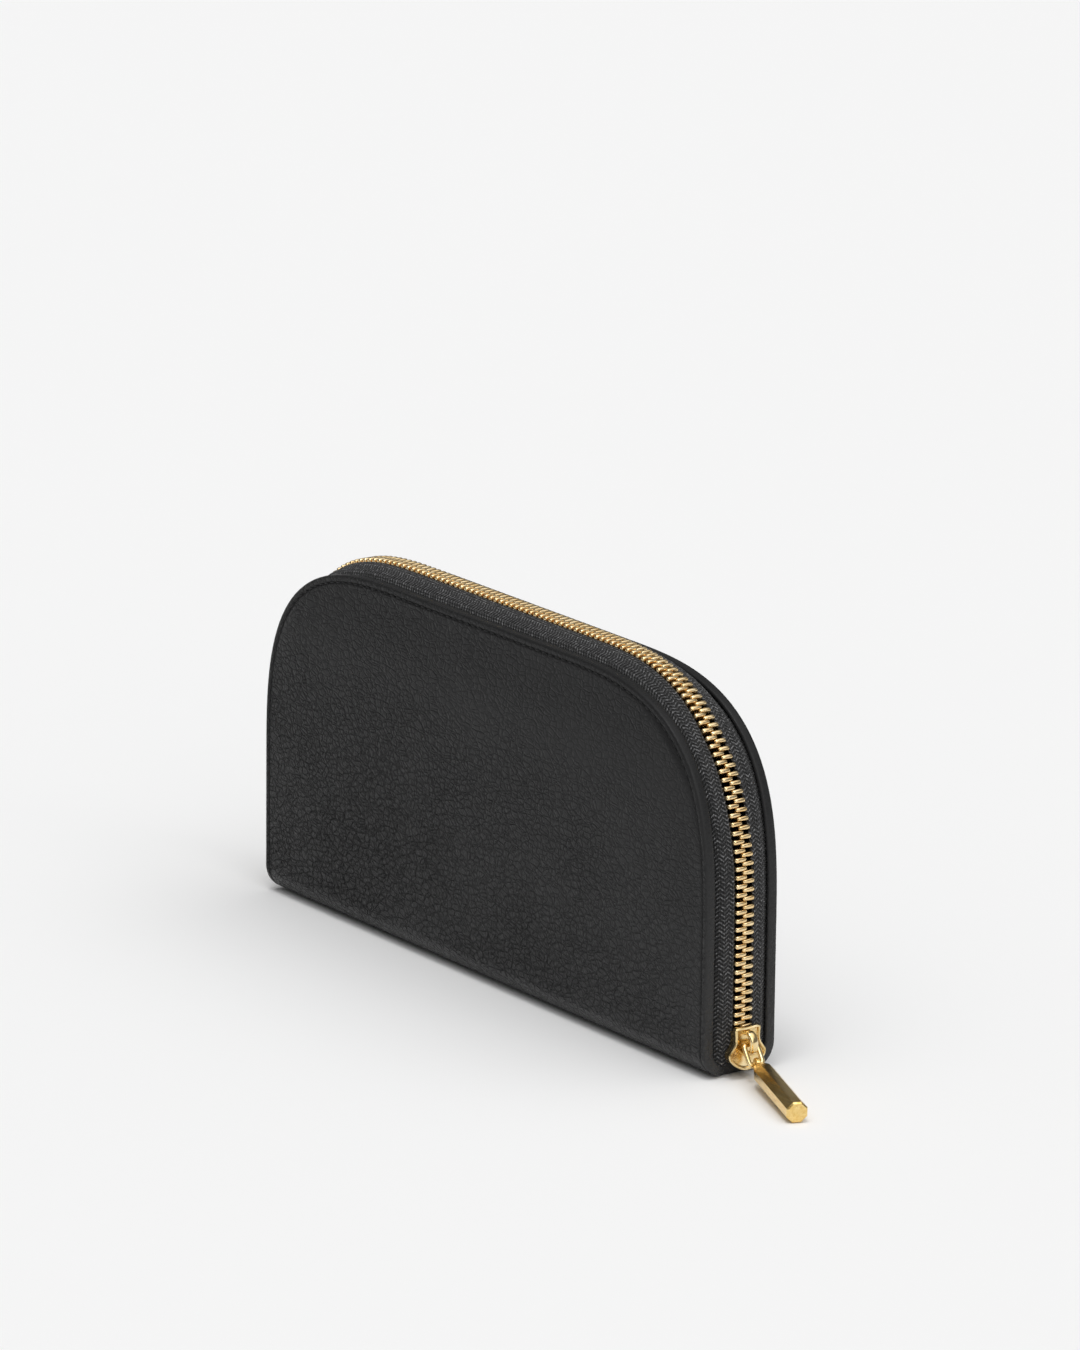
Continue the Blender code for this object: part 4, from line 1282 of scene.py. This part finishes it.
def coin_teeth(side_name, side):
    low, high = node_box(f"coin_teeth_{side_name}")
    pitch = 1.7
    shift = 0.0 if side == FRONT else pitch / 2
    width = max(abs(low.y), abs(high.y))
    heap = Heap()
    for x in np.arange(low.x + 0.6 + shift, high.x - 0.5, pitch):
        loops = []
        root = ((width, 0.3), (width - 0.12, 0.46), (0.9, 0.5))
        for y, half in (*root, (0.35, 0.39), (-0.28, 0.37), (-0.4, 0.24)):
            rise = min(half / 0.4, 1.0)
            section = [(a * half, b * (high.z - low.z) / 2 * rise) for a, b in squircle(12, 0.6)]
            loops.append([(x + across, side * y, (low.z + high.z) / 2 + up) for across, up in section])
        points, faces = loft(loops)
        heap.add(points, faces)
    teeth = heap.piece(f"coin_zip_teeth_{side_name}", MATERIALS["teeth"], 50.0)
    placed(teeth, "spine", "teeth_metal", f"coin_teeth_{side_name}")


def repaint_cad():
    """CAD pieces that keep their own shape get the detailed materials and soft edges."""
    kept = {
        "coin_slider": ("gold", 0.12),
        "coin_pull": ("gold", 0.1),
        "front_board": ("board", 0.0),
        "back_board": ("board", 0.0),
    }
    for name, (material, width) in kept.items():
        node = frame["nodes"][name]
        node.data.materials.clear()
        node.data.materials.append(MATERIALS[material])
        if width:
            softened(node, width)


# ---------------------------------------------------------------- stage, lights, camera


# Metres. The floor lies a hair below the wallet, so that the two don't share a plane.
FLOOR_REACH = 8.0
FLOOR_DROP = 0.00005
# The studio is dim all round, with a bright panel overhead that fades out between two cosines.
WORLD_LIGHT, PANEL_LIGHT = 0.19, 1.42
PANEL_DIRECTION = (0.25, -0.02, 1.0)
PANEL_FADE = (0.6, 0.9)


def soft_sun(name, direction, strength, spread_deg):
    """Wide, even light from far off; direction points towards it."""
    data = bpy.data.lights.new(name, "SUN")
    data.energy = strength
    data.angle = math.radians(spread_deg)
    light = added(name, data)
    light.location = Vector(direction)
    light.rotation_euler = Vector(direction).to_track_quat("Z", "Y").to_euler()


def make_stage():
    """A large pale floor under even studio light, strongest from above."""
    mesh = bpy.data.meshes.new("floor")
    corners = [(x * FLOOR_REACH, y * FLOOR_REACH, 0) for x, y in ((-1, -1), (1, -1), (1, 1), (-1, 1))]
    mesh.from_pydata(corners, [], [(0, 1, 2, 3)])
    mesh.materials.append(MATERIALS["floor"])
    floor = added("floor", mesh)
    floor.location.z = -FLOOR_DROP
    world = bpy.data.worlds.new("studio")
    world.use_nodes = True
    tree = world.node_tree
    background = tree.nodes["Background"]
    background.inputs["Color"].default_value = (1.0, 1.0, 1.0, 1.0)
    facing = tree.nodes.new("ShaderNodeTexCoord").outputs["Generated"]
    toward = tree.nodes.new("ShaderNodeVectorMath")
    toward.operation = "DOT_PRODUCT"
    tree.links.new(facing, toward.inputs[0])
    toward.inputs[1].default_value = Vector(PANEL_DIRECTION).normalized()
    panel = tree.nodes.new("ShaderNodeMapRange")
    panel.interpolation_type = "SMOOTHSTEP"
    levels = (*PANEL_FADE, WORLD_LIGHT, PANEL_LIGHT)
    for key, value in zip(("From Min", "From Max", "To Min", "To Max"), levels):
        panel.inputs[key].default_value = value
    tree.links.new(toward.outputs["Value"], panel.inputs["Value"])
    tree.links.new(panel.outputs["Result"], background.inputs["Strength"])
    bpy.context.scene.world = world
    soft_sun("key_above", (0.12, -0.22, 1.0), 0.6, 16.0)
    soft_sun("fill_right", (0.9, -0.15, 0.55), 0.75, 50.0)


# The camera's place round its target, in radians and metres, and its lens in millimetres.
CAMERA_TURN = 0.950
CAMERA_RISE = 0.266
CAMERA_ROLL = 0.011
CAMERA_DISTANCE = 1.8914
CAMERA_LENS = 205.7
CAMERA_TARGET = Vector((0.0111, 0.0, 0.080))


def make_camera():
    data = bpy.data.cameras.new("camera")
    data.sensor_fit = "VERTICAL"
    data.sensor_height = 36.0
    data.lens = CAMERA_LENS
    data.clip_start = 0.05
    data.clip_end = 50.0
    camera = added("camera", data)
    turn, rise = CAMERA_TURN, CAMERA_RISE
    back = Vector((math.sin(turn) * math.cos(rise), -math.cos(turn) * math.cos(rise), math.sin(rise)))
    right = Vector((math.cos(turn), math.sin(turn), 0.0))
    up = back.cross(right)
    rolled_right = right * math.cos(CAMERA_ROLL) + up * math.sin(CAMERA_ROLL)
    rolled_up = up * math.cos(CAMERA_ROLL) - right * math.sin(CAMERA_ROLL)
    rotation = Matrix((rolled_right, rolled_up, back)).transposed()
    camera.matrix_world = Matrix.Translation(CAMERA_TARGET + back * CAMERA_DISTANCE) @ rotation.to_4x4()
    bpy.context.scene.camera = camera


# ---------------------------------------------------------------- the wallet


def main():
    bpy.context.scene.view_settings.view_transform = "Standard"
    make_camera()
    make_stage()
    for side_name, side in SIDES:
        cover_skin(side_name, side)
        cover_stitches(side_name, side)
        linings(side_name, side)
        zip_tape(side_name, side)
        teeth_row(side_name, side)
        end_stop(side_name)
        pocket_panel(side_name, side)
        for number in range(1, 5):
            card_slot(side_name, side, number)
        slot_seams(side_name, side)
    for end_name, end in (("left", -1.0), ("right", 1.0)):
        for side_name, side in SIDES:
            gusset(end_name, end, side_name, side)
    coin_pocket()
    slider()
    pull_ring()
    pull_bar()
    repaint_cad()


main()
